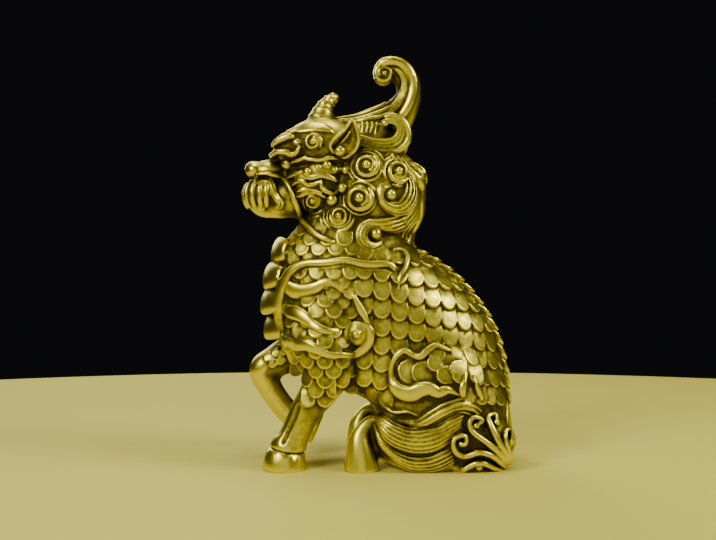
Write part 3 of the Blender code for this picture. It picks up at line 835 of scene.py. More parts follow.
def inside(field, rows):
    """Which x, z rows lie inside a closed field of corners."""
    found = np.zeros(len(rows), dtype=bool)
    for (x0, z0), (x1, z1) in zip(field, field[1:] + field[:1]):
        spans = (z0 > rows[:, 1]) != (z1 > rows[:, 1])
        cross = x0 + (rows[:, 1] - z0) * (x1 - x0) / (z1 - z0 if z1 != z0 else 1e-9)
        found ^= spans & (rows[:, 0] < cross)
    return found


def gap_to(shape, rows):
    """Distance of x, z rows from a shape, a row of points with their half widths."""
    places, half_widths = shape
    away = np.linalg.norm(rows[:, None, :] - places[None, :, :], axis=2)
    return (away - half_widths).min(axis=1)


def kept_runs(keep, points, longest):
    """Index runs that are kept and have no jump in them."""
    runs, run = [], []
    for i in range(len(points)):
        jump = bool(run) and np.linalg.norm(points[i] - points[run[-1]]) > longest
        if run and (jump or not keep[i]):
            runs.append(run)
            run = []
        if keep[i]:
            run.append(i)
    return [run for run in runs + [run] if len(run) > 6]


def hair_rings(side):
    """Rings of fine hair round each curl, cut off where another curl is nearer."""
    curls = SIDE_CURLS[:HAIR_CURLS]
    shapes = [(np.array([[x, z]]), radius) for x, z, radius, _, _ in curls]
    shapes += [(np.array([[x, z]]), radius) for x, z, radius in HAIR_BALLS]
    for outer, inner in ((NAPE_OUTER, NAPE_INNER), (LOW_OUTER, LOW_INNER)):
        outer, inner = even_path(outer, 40), even_path(inner, 40)
        shapes.append(((outer + inner) / 2, np.linalg.norm(outer - inner, axis=1) / 2 + 0.2))
    turn = np.linspace(0.4, 0.4 + 2 * math.pi, 80)
    for own, (x, z, radius, _, _) in enumerate(curls):
        for row in range(HAIR_ROWS):
            reach = radius + HAIR_GAP * (row + 0.45)
            ring = np.stack([x + reach * np.cos(turn), z + reach * np.sin(turn)], axis=1)
            keep = inside(HAIR_FIELD, ring)
            for other, shape in enumerate(shapes):
                if other != own:
                    keep &= gap_to(shape, ring) > reach - radius - 0.1
            points, normals = skin.follow(ring, side)
            for run in kept_runs(keep, points, 0.9):
                radii = HAIR_RADIUS * swell(len(run), 0.3)
                marks.strand(points[run] + normals[run] * (radii * 0.45)[:, None], radii)


for side in SIDES:
    hair_rings(side)
print("Mane strands with fine hair:", len(marks.strands))

# %% Locks down the back of the mane
BACK_STRANDS = 7
BACK_AXIS = -1.5
BACK_TOP = 66.0
BACK_LOW = 44.5
BACK_RISE = 3.5
BACK_RADIUS = 0.66
NAPE_CURL_HEIGHT = 59.4
NAPE_CURL_ASIDE = 3.4


def back_lock(share, side):
    """A wavy strand down the back, at a share of the way from middle to side."""
    height = np.linspace(BACK_TOP, BACK_LOW + BACK_RISE * share, 48)
    along = np.linspace(0, 1, 48)
    angle = (0.08 + 0.72 * share) + 0.16 * np.sin(along * 2.2 * math.pi + 0.6) * (0.4 + share)
    points, normals = skin.round_axis(BACK_AXIS, height, angle, side)
    radii = BACK_RADIUS * swell(len(points), 0.4)
    marks.strand(points + normals * (radii * 0.25)[:, None], radii)


for side in SIDES:
    for i in range(BACK_STRANDS):
        back_lock(i / (BACK_STRANDS - 1), side)
    point, normal = skin.cast((RAY_START, side * NAPE_CURL_ASIDE, NAPE_CURL_HEIGHT), (-1, 0, 0))
    curl(point - normal * 0.7, normal + Vector((0.6, 0, 0)), 2.3, 1.5, 90, dome=0.35, bead=0.3)

# %% [markdown]
# ## Crest and horn
# The crest is a swept plume. Deep flutes run up it and end in a snail curl at its tip,
# and short upright hair closes its foot. The horn is short, thick and ringed.

# %% Flutes of the crest
CREST_OUTER = ((5.1, 70.5), (7.2, 74.1), (8.3, 78.3), (7.4, 81.6), (5.3, 83.9), (2.8, 84.5),
               (0.5, 83.9), (-0.7, 82.2), (-0.5, 80.4), (0.9, 79.3))
CREST_INNER = ((0.1, 73.0), (2.8, 74.9), (4.3, 77.4), (4.7, 79.5), (3.9, 81.4), (2.4, 82.5),
               (1.1, 82.7), (0.3, 81.8), (0.3, 80.8), (1.1, 80.2))
FOOT_TOP = ((-8.7, 72.2), (-5.1, 72.4), (-0.9, 73.7), (1.8, 75.3))
FOOT_LOW = ((-8.2, 71.2), (-4.9, 71.0), (-0.3, 71.8), (3.0, 73.5))
BROAD_FLUTE = inset(CREST_OUTER, CREST_INNER, 0.30, 0.34)
THIN_FLUTES = inset(CREST_OUTER, CREST_INNER, 0.66, 0.94)
FOOT_HAIR_X = np.arange(-3.6, 0.4, 1.0)

for side in SIDES:
    bundle(*BROAD_FLUTE, 1, side, fullness=20, rise=0.1, blunt=0.5)
    bundle(*THIN_FLUTES, 3, side, fullness=0.8, rise=0.2)
    bundle(FOOT_TOP, FOOT_LOW, 3, side, fullness=0.6)
    for x in FOOT_HAIR_X:
        line(((x, 70.9), (x - 0.1, 69.6), (x - 0.3, 68.4)), 0.28, side)
    ball(marks.bars, (1.1, side * 0.7, 81.4), (1.8, 1.1, 1.8))
    curl((1.0, side * 1.3, 81.4), (0, side, 0), 2.1, -1.3, 100, dome=0.45, thick=0.25, bead=0.24)

# %% Rings of the horn
HORN_RINGS = 5
RING_RISE = 0.12
RING_HALF_WIDTH = 0.6
horn_path = smooth_path(HORN, 12)
for share in np.linspace(0.16, 0.86, HORN_RINGS):
    index = int(share * (len(horn_path) - 1))
    row, after = horn_path[index], horn_path[index + 1]
    along = Vector(after[:3] - row[:3]).normalized()
    frame_here = along.to_track_quat("Z", "Y").to_matrix()
    reach = row[3] + RING_RISE
    ball(marks.bars, row[:3], (reach, reach, RING_HALF_WIDTH), frame_here)

# %% [markdown]
# ## The face
# The face is what a viewer looks at first, so its parts are laid one by one: brow, eye
# and lids, nose, the fluted moustache, beard curl, cheek folds, ears and the long whisker
# that crosses the neck. Most are straps with their own width at each point.

# %% Straps of the face: height, then x, z, half width points
FACE_STRAPS = (
    (1.0, ((-25.3, 60.2, .31), (-23.5, 60.2, .41), (-22.1, 60.0, .51), (-20.4, 59.4, .51),
           (-19.2, 58.4, .51), (-18.4, 57.1, .51), (-17.8, 55.5, .51), (-17.0, 53.7, .6),
           (-16.3, 52.0, .6), (-15.5, 50.2, .7), (-14.1, 48.4, .7), (-12.3, 46.9, .6),
           (-10.6, 46.1, .5), (-9.2, 45.7, .2))),
    (0.9, ((-18.3, 62.3, .2), (-17.3, 62.7, .41), (-15.9, 63.1, .5), (-15.1, 63.3, .5),
           (-13.8, 62.9, .45), (-12.2, 62.7, .45), (-10.6, 63.1, .5), (-9.6, 63.1, .4), (-8.6, 62.9, .2))),
    (1.2, ((-22.6, 63.2, .41), (-21.1, 64.5, .6), (-19.2, 64.7, .65), (-17.8, 64.3, .65),
           (-16.8, 64.5, .55), (-16.0, 65.3, .4))),
    (1.1, ((-21.6, 65.6, .41), (-20.5, 66.5, .7), (-19.1, 67.1, .8), (-17.6, 67.2, .4))),
    (0.8, ((-12.0, 58.4, .3), (-11.8, 57.1, .41), (-11.0, 56.3, .51), (-9.8, 56.0, .51),
           (-8.6, 56.3, .5))),
    (0.7, ((-18.8, 59.0, .31), (-17.8, 59.4, .41), (-16.8, 59.8, .51), (-15.5, 60.0, .6))),
    (0.6, ((-17.9, 57.3, .3), (-16.9, 58.1, .41), (-15.7, 58.3, .51), (-14.7, 57.7, .51),
           (-13.4, 57.7, .51), (-12.2, 58.1, .41))),
    (0.6, ((-16.7, 56.4, .3), (-15.3, 56.7, .41), (-13.8, 56.5, .41), (-11.8, 55.9, .41))),
    (0.5, ((-17.0, 60.2, .3), (-14.6, 60.4, 1.1), (-12.0, 60.9, 1.3), (-9.6, 60.7, 1.2),
           (-7.0, 60.3, .3))),
    (0.35, ((-17.4, 57.3, .3), (-15.2, 57.3, 1.0), (-12.8, 57.1, 1.0), (-10.6, 56.6, .3))),
    (0.6, ((-17.2, 58.9, .3), (-15.6, 59.1, .5), (-13.8, 59.0, .6), (-12.0, 59.3, .6),
           (-10.2, 58.9, .6), (-8.9, 58.2, .3))),
    (0.6, ((-16.9, 55.2, .3), (-15.9, 55.6, .5), (-14.6, 56.0, .5), (-12.6, 55.9, .4), (-11.2, 55.2, .4))),
    (0.45, ((-20.0, 67.6, .3), (-18.2, 68.6, 1.0), (-15.4, 69.4, 1.5), (-12.4, 69.4, 1.3),
            (-9.6, 68.4, .3))),
)
MUZZLE_OUTER = ((-25.4, 58.1), (-24.2, 59.3), (-22.8, 59.4), (-21.8, 58.4), (-21.3, 56.7),
                (-20.6, 55.3), (-19.8, 54.3), (-20.2, 53.3), (-21.3, 53.0), (-22.0, 53.9))
MUZZLE_INNER = ((-24.7, 57.0), (-23.6, 58.0), (-23.0, 57.4), (-22.6, 56.2), (-22.0, 55.2),
                (-21.5, 54.8), (-21.2, 54.5), (-21.2, 54.2), (-21.5, 54.0), (-21.8, 54.2))
CHEEK_BEADS = ((-14.6, 60.0, 1.0), (-12.6, 60.9, 0.8), (-10.8, 61.4, 1.0), (-9.3, 60.5, 0.8),
               (-8.1, 60.6, 0.75), (-6.8, 60.4, 0.95), (-7.4, 56.8, 1.1), (-9.6, 54.4, 1.35))

for side in SIDES:
    for height, points in FACE_STRAPS:
        strap(points, side, height)
    bundle(MUZZLE_OUTER, MUZZLE_INNER, 4, side, fullness=0.56, crown=0.4)
    for x, z, radius in CHEEK_BEADS:
        skin_bead(x, z, radius, 0.25 * radius, side)

# %% Eyes, nose and beard
EYE = (-19.0, 62.1)
EYE_RADII = (1.5, 1.3, 1.4)
EYE_SUNK = 0.15
NOSTRIL = (-26.2, 2.3, 61.0)
NOSTRIL_RADII = (1.5, 1.25, 1.4)
UPPER_LIP = ((-27.4, 59.0), (-25.8, 59.2), (-24.6, 60.0))
BEARD_CURL = (-24.5, 53.1, 0.85, 1.3, 200)

for side in SIDES:
    point, normal = skin.at(*EYE, side)
    ball(marks.bars, point - normal * EYE_SUNK, EYE_RADII)
    side_curl(*BEARD_CURL, side, thick=0.3)
    ball(marks.bars, (NOSTRIL[0], side * NOSTRIL[1], NOSTRIL[2]), NOSTRIL_RADII)
    line(UPPER_LIP, 0.4, side)

# %% Fluted moustache round the front of the muzzle
FLUTE_ANGLES = (3, 26, 47, 65, 80)
FLUTE_AXIS = -22.6
FLUTE_HEIGHTS = np.linspace(58.4, 53.4, 20)
FLUTE_RADIUS = 0.64
for side in SIDES:
    for degrees in FLUTE_ANGLES:
        angles = np.full(len(FLUTE_HEIGHTS), math.radians(180 - degrees))
        points, normals = skin.round_axis(FLUTE_AXIS, FLUTE_HEIGHTS, angles, side)
        radii = FLUTE_RADIUS * swell(len(points), 0.6)
        marks.strand(points + normals * (radii * 0.35)[:, None], radii)

# %% Ears, each a dish between a left and a right edge that meet at the tip
EAR_STATIONS = 18
EAR_LEFT = ((-9.3, 63.8), (-10.0, 64.9), (-10.1, 65.7), (-9.5, 66.5), (-8.5, 67.4), (-7.1, 68.6),
            (-5.7, 70.5))
EAR_RIGHT = ((-7.9, 63.1), (-6.9, 63.1), (-5.7, 63.9), (-4.7, 65.3), (-4.4, 67.0), (-4.8, 68.8),
             (-5.5, 70.5))
EAR_RIDGE = ((-8.9, 65.2), (-7.1, 66.8), (-6.1, 68.2))
EAR_FLARE = 2.4
EAR_THICKNESS = 0.65
EAR_SUNK = 0.75
EAR_RIM_RADIUS = 0.45
EAR_RIDGE_RADIUS = 0.3
for side in SIDES:
    root, _ = skin.at(-8.9, 64.2, side)
    depth = root.y + side * (0.5 + EAR_FLARE * np.linspace(0, 1, EAR_STATIONS))
    edges = [even_path(edge, EAR_STATIONS) for edge in (EAR_LEFT, EAR_RIGHT)]
    left, right = [np.stack([edge[:, 0], depth, edge[:, 1]], axis=1) for edge in edges]
    facing = np.tile(Vector((-0.25, side, 0.1)).normalized(), (EAR_STATIONS, 1))
    half_width = np.linalg.norm(right - left, axis=1) / 2
    thickness = np.full(EAR_STATIONS, EAR_THICKNESS)
    bar(marks.bars, (left + right) / 2 - facing * EAR_SUNK, facing, half_width, thickness)
    for rim in (left, right):
        marks.strand(rim, EAR_RIM_RADIUS * swell(EAR_STATIONS, 0.6))
    ridge = even_path(EAR_RIDGE, EAR_STATIONS)
    ridge = np.stack([ridge[:, 0], depth, ridge[:, 1]], axis=1)
    marks.strand(ridge - facing * 0.25, EAR_RIDGE_RADIUS * swell(EAR_STATIONS, 0.5))
    marks.bead(root + Vector((0.8, side * 0.9, 0.1)), 1.15)
print("Face done, strands:", len(marks.strands))

# %% [markdown]
# ## Shoulder and haunch flames
# Cloud-like flames lick over the shoulders and haunches. A long band comes down from the
# neck round the breast, with three tongues, and the lowest one curls round a beaded ring.

# %% Flames: height, then x, z, half width points
FLAMES = (
    (1.1, ((3.0, 40.2, .6), (1.4, 41.2, .8), (-1.7, 41.2, .8), (-4.1, 41.4, .8), (-7.1, 42.0, .8),
           (-11.0, 41.6, .8), (-15.0, 41.4, .8), (-17.6, 40.0, 1.1), (-19.2, 37.4, 1.4),
           (-20.1, 34.3, 1.5), (-20.1, 30.7, 1.5), (-19.3, 27.5, 1.4), (-18.0, 24.9, 1.0))),
    (0.9, ((-19.1, 37.6, 1.2), (-17.5, 36.2, 1.7), (-15.6, 35.9, 1.6), (-13.0, 36.6, 1.3),
           (-11.0, 37.6, 1.0), (-9.0, 37.2, .7), (-7.3, 36.0, .5), (-5.5, 35.5, .2))),
    (0.9, ((-19.7, 32.5, 1.2), (-17.5, 31.7, 1.5), (-15.4, 30.9, 1.4), (-13.6, 29.5, 1.1),
           (-11.4, 28.3, .9), (-9.4, 28.1, .6), (-7.9, 28.3, .2))),
    (0.9, ((-19.1, 26.4, 1.0), (-16.9, 25.4, 1.4), (-14.4, 25.4, 1.3), (-12.4, 24.6, 1.0),
           (-10.4, 23.6, .8), (-8.0, 23.4, .7), (-5.7, 23.2, .8), (-3.5, 24.4, 1.0),
           (-2.3, 26.2, 1.1), (-2.3, 28.2, 1.0), (-3.7, 29.2, .9), (-5.3, 29.4, .7),
           (-6.7, 28.4, .6), (-6.9, 26.8, .5), (-5.9, 26.0, .4))),
    (0.8, ((-5.7, 36.0, .2), (-4.9, 34.3, .6), (-3.7, 31.9, .8), (-2.5, 29.9, .5), (-1.9, 28.7, .2))),
    (0.9, ((2.5, 44.2, .4), (4.3, 43.8, .6), (5.3, 42.6, .8), (4.9, 40.6, .6), (3.9, 38.8, .5),
           (3.5, 36.4, .2))),
    (1.2, ((14.1, 23.9, .2), (12.4, 24.5, .5), (11.0, 24.9, .7), (9.4, 24.1, .8), (7.9, 22.9, .8),
           (6.3, 23.3, .7), (4.7, 24.1, .7), (3.2, 23.1, .6), (2.2, 21.2, .6), (2.2, 19.0, .7),
           (3.0, 17.2, 1.3), (4.3, 16.1, 1.6), (6.1, 15.8, 1.7), (7.9, 16.6, 1.6), (9.6, 16.8, 1.4),
           (11.2, 16.1, 1.2), (13.0, 16.5, .9), (14.5, 15.9, .4), (15.7, 15.3, .2))),
    (0.9, ((16.2, 15.2, .5), (16.0, 16.6, .8), (16.4, 18.0, .55), (16.8, 19.6, .12))),
    (0.9, ((19.8, 14.4, .5), (19.2, 16.0, .7), (18.7, 17.6, .5), (18.3, 19.3, .12))),
)
RIMS = (
    (0.4, ((-16.0, 37.4), (-17.2, 38.4), (-16.4, 39.8), (-14.0, 40.4), (-10.0, 40.6), (-6.5, 41.0),
           (-3.7, 40.2), (0.8, 40.0), (3.0, 38.8), (4.0, 36.8))),
    (0.35, ((8.5, 22.3), (6.3, 22.5), (4.5, 22.9), (3.3, 21.8), (3.0, 19.8), (3.7, 18.2), (5.3, 17.6),
            (7.1, 18.2), (8.8, 18.6))),
    (0.4, ((0.7, 17.0), (0.3, 15.2), (0.8, 13.4), (1.7, 12.3), (3.2, 11.8), (5.4, 12.1), (7.2, 11.4))),
    (0.32, ((-21.7, 42.0), (-22.2, 38.0), (-22.2, 33.0), (-21.2, 27.0))),
)
SHOULDER_RING = (-4.6, 27.5)
SHOULDER_RING_RADII = (2.6, 2.6, 1.5)

for side in SIDES:
    for height, points in FLAMES:
        strap(points, side, height)
    for radius, points in RIMS:
        line(points, radius, side)
    point, normal = skin.at(*SHOULDER_RING, side)
    ball(marks.bars, point, SHOULDER_RING_RADII, patch_frame(normal))
    marks.bead(point + normal * 1.3, 0.95)

# %% [markdown]
# ## The tail
# The tail is drawn forward along the haunch as thick parallel hair, and its tips stand up
# behind in hooked wisps, each with a bead at its start. Thinner hair fans out over the
# rump from the end of the spine.

# %% Tail hair
UPPER_TOP = ((-0.6, 11.2), (0.9, 10.7), (3.4, 9.3), (5.8, 8.5), (8.8, 8.7), (11.8, 9.7), (14.1, 11.1),
             (16.6, 11.9))
UPPER_LOW = ((-1.0, 9.9), (0.2, 7.6), (1.8, 6.1), (3.8, 5.1), (6.2, 4.5), (8.8, 4.5), (11.2, 5.1),
             (13.3, 6.3), (15.4, 7.9))
LOWER_TOP = ((-1.2, 9.5), (0.1, 6.8), (1.8, 5.1), (4.2, 3.7), (6.8, 3.1), (9.8, 3.3), (12.3, 4.3),
             (14.1, 5.1))
LOWER_LOW = ((-1.4, 8.8), (-0.2, 5.4), (1.5, 3.5), (3.5, 1.8), (5.9, 0.5), (8.8, 0.2), (11.8, 0.5),
             (14.6, 1.6))
LOCK_TOP = ((3.3, 10.5), (4.9, 10.3), (6.9, 10.3), (8.6, 11.3), (10.4, 12.5), (12.4, 13.7), (14.2, 14.3),
            (15.8, 14.7), (17.4, 14.5), (19.0, 13.7), (20.2, 12.5))
LOCK_LOW = ((3.5, 10.2), (5.1, 9.3), (7.1, 8.7), (9.0, 9.1), (11.0, 10.3), (13.0, 11.5), (14.6, 12.1),
            (16.2, 12.1), (17.6, 11.5), (18.8, 10.7), (19.8, 9.9))
WISPS = (
    ((15.8, 5.8, .5), (16.8, 5.8, .5), (17.0, 6.8, .5), (16.0, 7.6, .5), (14.8, 7.2, .5),
     (14.0, 6.0, .5), (14.4, 4.6, .6), (15.6, 3.8, .6), (17.2, 3.8, .6), (19.2, 4.4, .6),
     (21.3, 4.0, .6), (23.1, 2.8, .6), (24.5, 1.4, .5)),
    ((18.8, 9.1, .4), (19.8, 9.7, .5), (19.4, 10.5, .5), (18.1, 10.9, .5), (17.3, 10.1, .5),
     (17.5, 8.9, .6), (18.5, 7.6, .6), (20.6, 6.2, .6), (22.8, 4.4, .7), (24.6, 2.2, .6)),
    ((22.9, 9.3, .4), (22.7, 10.5, .5), (21.9, 11.1, .5), (21.1, 10.5, .5), (21.5, 9.1, .6),
     (22.3, 7.5, .7), (23.3, 5.5, .7), (24.4, 3.6, .7), (25.2, 1.6, .4)),
    ((25.5, 5.9, .3), (25.6, 7.2, .4), (25.1, 8.0, .4), (24.4, 7.6, .4), (24.3, 6.1, .5),
     (24.7, 4.7, .6), (25.1, 3.1, .6), (25.5, 1.6, .4)),
    ((16.4, 0.8, .5), (17.4, 1.6, .6), (18.8, 2.4, .6), (20.4, 2.4, .6), (22.1, 1.6, .6),
     (23.7, 0.8, .5)),
)
WISP_BEAD = 0.7
LOW_BEAD = (19.5, 1.2, 0.95, 0.3)

for side in SIDES:
    bundle(UPPER_TOP, UPPER_LOW, 7, side, rise=0.25, blunt=0.5, crown=0.9, ease=30)
    bundle(LOWER_TOP, LOWER_LOW, 6, side, rise=0.25, blunt=0.5, crown=0.9, ease=30)
    bundle(LOCK_TOP, LOCK_LOW, 4, side, rise=0.25, crown=1.2, ease=10)
    for points in WISPS:
        strap(points, side, 1.0, rise=0.6)
        skin_bead(*points[0][:2], WISP_BEAD, 0.7, side)
    skin_bead(*LOW_BEAD, side)

# %% Hair that fans out over the rump
RUMP_STRANDS = 11
RUMP_AXIS = 15.0
RUMP_TOP = 13.0
RUMP_LOW = 0.6
RUMP_RADIUS = 0.5


def rump_lock(share, side):
    """A strand from the end of the spine down and out towards the wisps."""
    along = np.linspace(0, 1, 32)
    height = RUMP_TOP + (RUMP_LOW - RUMP_TOP) * along
    angle = share * (0.2 + 0.8 * along) + 0.05 * np.sin(along * 5 + 1)
    points, normals = skin.round_axis(RUMP_AXIS, height, angle, side)
    marks.strand(points + normals * 0.02, RUMP_RADIUS * swell(len(points), 0.5))


for side in SIDES:
    for i in range(RUMP_STRANDS):
        rump_lock((i + 0.5) / RUMP_STRANDS, side)
print("Strands in all:", len(marks.strands))

# %% [markdown]
# ## Scales
# Scales lie in upright columns round the flanks, each over the one below, and in
# staggered rows on the arms and neck, and plates run down the spine. One low tile serves
# for all of them, turned and sized point by point. The shields across the breast are
# broader than any scale, so they are bars swept round the trunk, each with a ridge.

# %% Place a scale on the skin
SCALE_LEAN = 0.14
ARM_LEAN = 0.2


def place_scale(point, normal, half_width, half_height, thickness=0.75, lean=SCALE_LEAN, up=None):
    """Mark one scale whose lower edge stands off the skin."""
    upward = Vector(up) if up else Vector((0, 0, 1))
    upward = (upward - normal * upward.dot(normal)).normalized()
    facing = (normal + upward * lean).normalized()
    marks.scale(point, facing, upward, (half_width, half_height, thickness))

# %% Flank columns, measured round the girth from their front edge
FLANK_WIDTH = 3.5
FLANK_PITCH = 3.58
FLANK_TOP = 43.6
FLANK_ROWS = 9
FLANK_COLUMNS = 10
FLANK_FRONT = -5.0
FLANK_DROOP = 0.16
FLANK_LOWEST = 12.5
FLAME_LEFT, FLAME_RIGHT, FLAME_TOP, FLAME_DEPTH = 1.5, 15.4, 23.6, 9


def girth_point(height, reach):
    """Point of the trunk's outline at a reach behind its front edge, on the +Y side."""
    front, back, half_width = trunk_section(height)
    turn = np.linspace(math.pi, 0, 300)
    x = (front + back) / 2 + (back - front) / 2 * np.cos(turn)
    y = half_width * np.sin(turn)
    run = np.concatenate([[0], np.cumsum(np.hypot(np.diff(x), np.diff(y)))])
    run -= np.interp(FLANK_FRONT, x, run)
    if reach > run[-1] - 0.6:
        return None
    return float(np.interp(reach, run, x)), float(np.interp(reach, run, y))


def trunk_normal(x, y, height):
    """Outward heading of the plain trunk near a point, whatever lies on it there."""
    front, back, half_width = trunk_section(height)
    angle = math.atan2(y / half_width, (x - (front + back) / 2) / ((back - front) / 2))
    round_it = trunk_outline(height, angle + 0.05) - trunk_outline(height, angle - 0.05)
    up_it = trunk_outline(height + 2, angle) - trunk_outline(height - 2, angle)
    return round_it.cross(up_it).normalized()


def flank_scales():
    """Columns of scales on both flanks, left out where they would meet a flame."""
    for row in range(FLANK_ROWS):
        for column in range(FLANK_COLUMNS):
            level = FLANK_TOP - row * FLANK_PITCH
            height = level
            for _ in range(3):
                place_here = girth_point(height, (column + 0.5) * FLANK_WIDTH)
                if place_here:
                    height = level - FLANK_DROOP * place_here[0]
            if not place_here:
                continue
            x, y = place_here
            front, back, _ = trunk_section(height)
            middle = Vector(((front + back) / 2, 0, height))
            for side in SIDES:
                heading = (Vector((x, side * y, height)) - middle).normalized()
                found = skin.cast(middle + heading * RAY_START, -heading)
                if not found or found[0].z < FLANK_LOWEST:
                    continue
                point, normal = found
                by_flame = FLAME_LEFT < point.x < FLAME_RIGHT and point.z < FLAME_TOP
                if by_flame and abs(point.y) > FLAME_DEPTH:
                    continue
                normal = (normal + trunk_normal(point.x, point.y, height)).normalized()
                place_scale(point, normal, FLANK_WIDTH * 0.5, FLANK_PITCH * 0.66)

# %% Staggered rows on the arm and neck, and scales by the flames and the knee
ARM_ROWS = ((15.0, 40.6), (-17.8, -4.8), 3.4, 1.95, 2.2)
NECK_ROWS = ((43.0, 51.5), (-20.8, 3.5), 3.4, 1.9, 2.1)
HAUNCH_SCALES = (
    (5.6, 20.1, 2.3, 2.2), (8.3, 19.9, 2.2, 2.3), (11.0, 21.7, 1.7, 1.9), (12.8, 19.4, 1.8, 1.9),
    (15.4, 20.6, 1.7, 1.9),
)
KNEE_SCALES = (
    (-24.7, 23.0), (-22.9, 24.3), (-21.0, 24.7), (-23.7, 21.5), (-21.9, 22.5), (-20.1, 22.9),
    (-22.6, 20.2), (-20.9, 20.9),
)
KNEE_SIZE = (0.95, 1.35)
KNEE_INNER_SIDE = 3


def staggered(rows, side):
    """Rows of scales shifted by half a scale: heights, x limits, width, pitch, half height."""
    (low, high), (front, back), width, pitch, half_height = rows
    for row, height in enumerate(np.arange(low, high, pitch)):
        for x in np.arange(front + (row % 2) * width / 2, back, width):
            found = skin.cast((x, side * RAY_START, height), (0, -side, 0))
            in_hair = inside(HAIR_FIELD, np.array([[x, height]]))[0]
            if found and found[1].y * side > 0.35 and not in_hair:
                normal = (found[1] + Vector((0, side * 0.25, 0))).normalized()
                place_scale(found[0], normal, width * 0.5, half_height, 0.85, ARM_LEAN)


def fringe_scales(side):
    """Single scales between the haunch flames and on the knee of the raised leg."""
    for x, z, half_width, half_height in HAUNCH_SCALES:
        point, normal = skin.at(x, z, side)
        place_scale(point, normal, half_width, half_height, up=(1, 0, 0.2))
    for x, z in KNEE_SCALES:
        for start, heading in (((x, 0, z), (0, 1, 0)), ((x, RAY_START, z), (0, -1, 0))):
            found = skin.cast(start, heading)
            if found and found[0].y > KNEE_INNER_SIDE:
                place_scale(*found, *KNEE_SIZE, up=(0.7, 0, 0.7))


flank_scales()
for side in SIDES:
    staggered(ARM_ROWS, side)
    staggered(NECK_ROWS, side)
    fringe_scales(side)
print("Scales:", len(marks.scales))

# %% Spine plates and breast shields
SPINE = (
    (8.6, 44.0), (11.9, 42.2), (14.9, 40.0), (17.6, 37.6), (20.0, 34.8), (22.1, 31.8),
    (23.9, 28.6), (25.2, 25.2), (26.1, 21.6), (26.7, 18.0), (27.0, 14.4), (27.2, 10.8),
)
BREAST = (44.2, 38.9, 33.6, 28.4)
BREAST_HALF_ANGLE = 33
BREAST_HALF_HEIGHT = 3.0
BREAST_THICKNESS = 1.3
BREAST_STATIONS = 25
BREAST_RIDGE_DROP = 1.2
SPINE_LEAN = 0.25
SPINE_PLATE = (2.4, 2.0, 1.0)
spine_path = even_path(SPINE, 14)
for here, after in zip(spine_path, spine_path[1:]):
    along = Vector((here[0] - after[0], 0, here[1] - after[1])).normalized()
    outward = Vector((-along.z, 0, along.x))
    outward = outward if outward.x + outward.z > 0 else -outward
    facing = (outward + along * SPINE_LEAN).normalized()
    marks.scale((here[0], 0, here[1]), facing, along, SPINE_PLATE)

for height in BREAST:
    degrees = np.linspace(180 - BREAST_HALF_ANGLE, 180 + BREAST_HALF_ANGLE, BREAST_STATIONS)
    rim = np.array([trunk_outline(height, angle) for angle in np.radians(degrees)])
    middle = np.array(trunk_outline(height, math.pi)) + np.array((20, 0, 0))
    ups = unit_rows(unit_rows(rim - middle) + np.array((0, 0, 0.25)))
    bow = swell(BREAST_STATIONS, 0.6)
    half_height, thickness = BREAST_HALF_HEIGHT * bow, BREAST_THICKNESS * bow
    bar(marks.bars, rim + ups * 0.3, ups, half_height, thickness, sides=24)
    ridge = rim + ups * 1.35 - np.outer(bow, (0, 0, BREAST_RIDGE_DROP))
    marks.strand(ridge, 0.3 * swell(BREAST_STATIONS, 0.4))

# %% [markdown]
# ## One casting
# Now the three node trees turn the marks into closed forms. Together with the base they
# are fused by a fine voxel remesh, just as the wax is cast in one pour. The underside is
# then cut flat, and the skin is thinned to what the relief needs.

# %% Grow the marks
def strand_mesh(strands):
    points = np.vstack([row[0] for row in strands])
    radii = np.concatenate([row[1] for row in strands])
    edges, first = [], 0
    for row, _ in strands:
        edges += [(first + i, first + i + 1) for i in range(len(row) - 1)]
        first += len(row)
    mesh = bpy.data.meshes.new("strands")
    mesh.from_pydata(points.tolist(), edges, [])
    add_attribute(mesh, "strand_radius", "FLOAT", radii)
    return mesh


def point_mesh(name, rows):
    mesh = bpy.data.meshes.new(name)
    mesh.from_pydata([row[0] for row in rows], [], [])
    return mesh


bead_points = point_mesh("beads", marks.beads)
add_attribute(bead_points, "bead_radius", "FLOAT", [row[1] for row in marks.beads])
scale_points = point_mesh("scales", marks.scales)
for index, label in enumerate(("facing", "upward", "tile_size"), start=1):
    add_attribute(scale_points, label, "FLOAT_VECTOR", [row[index] for row in marks.scales])

grown = [
    grow(strand_tree, strand_mesh(marks.strands), {"Sides": 8, "Material": wax}),
    grow(bead_tree, bead_points, {"Detail": 3, "Material": wax}),
    grow(scale_tree, scale_points, {"Tile": tile, "Material": wax}),
    marks.bars.mesh("bars"),
]
for mesh in grown:
    print(mesh.name, len(mesh.polygons), "faces")

# %% Fuse the casting
FINE_VOXEL = 0.13
TRIANGLES = 190000


def joined(meshes, name):
    """One mesh from many, with every shell facing outwards."""
    bm = bmesh.new()
    for mesh in meshes:
        bm.from_mesh(mesh)
        bpy.data.meshes.remove(mesh)
    bmesh.ops.recalc_face_normals(bm, faces=bm.faces)
    whole = bpy.data.meshes.new(name)
    bm.to_mesh(whole)
    bm.free()
    whole.materials.clear()
    return whole


casting = fused(joined(grown + [base], "casting"), FINE_VOXEL, 1, "casting")
print("Fine skin:", len(casting.vertices), "points")

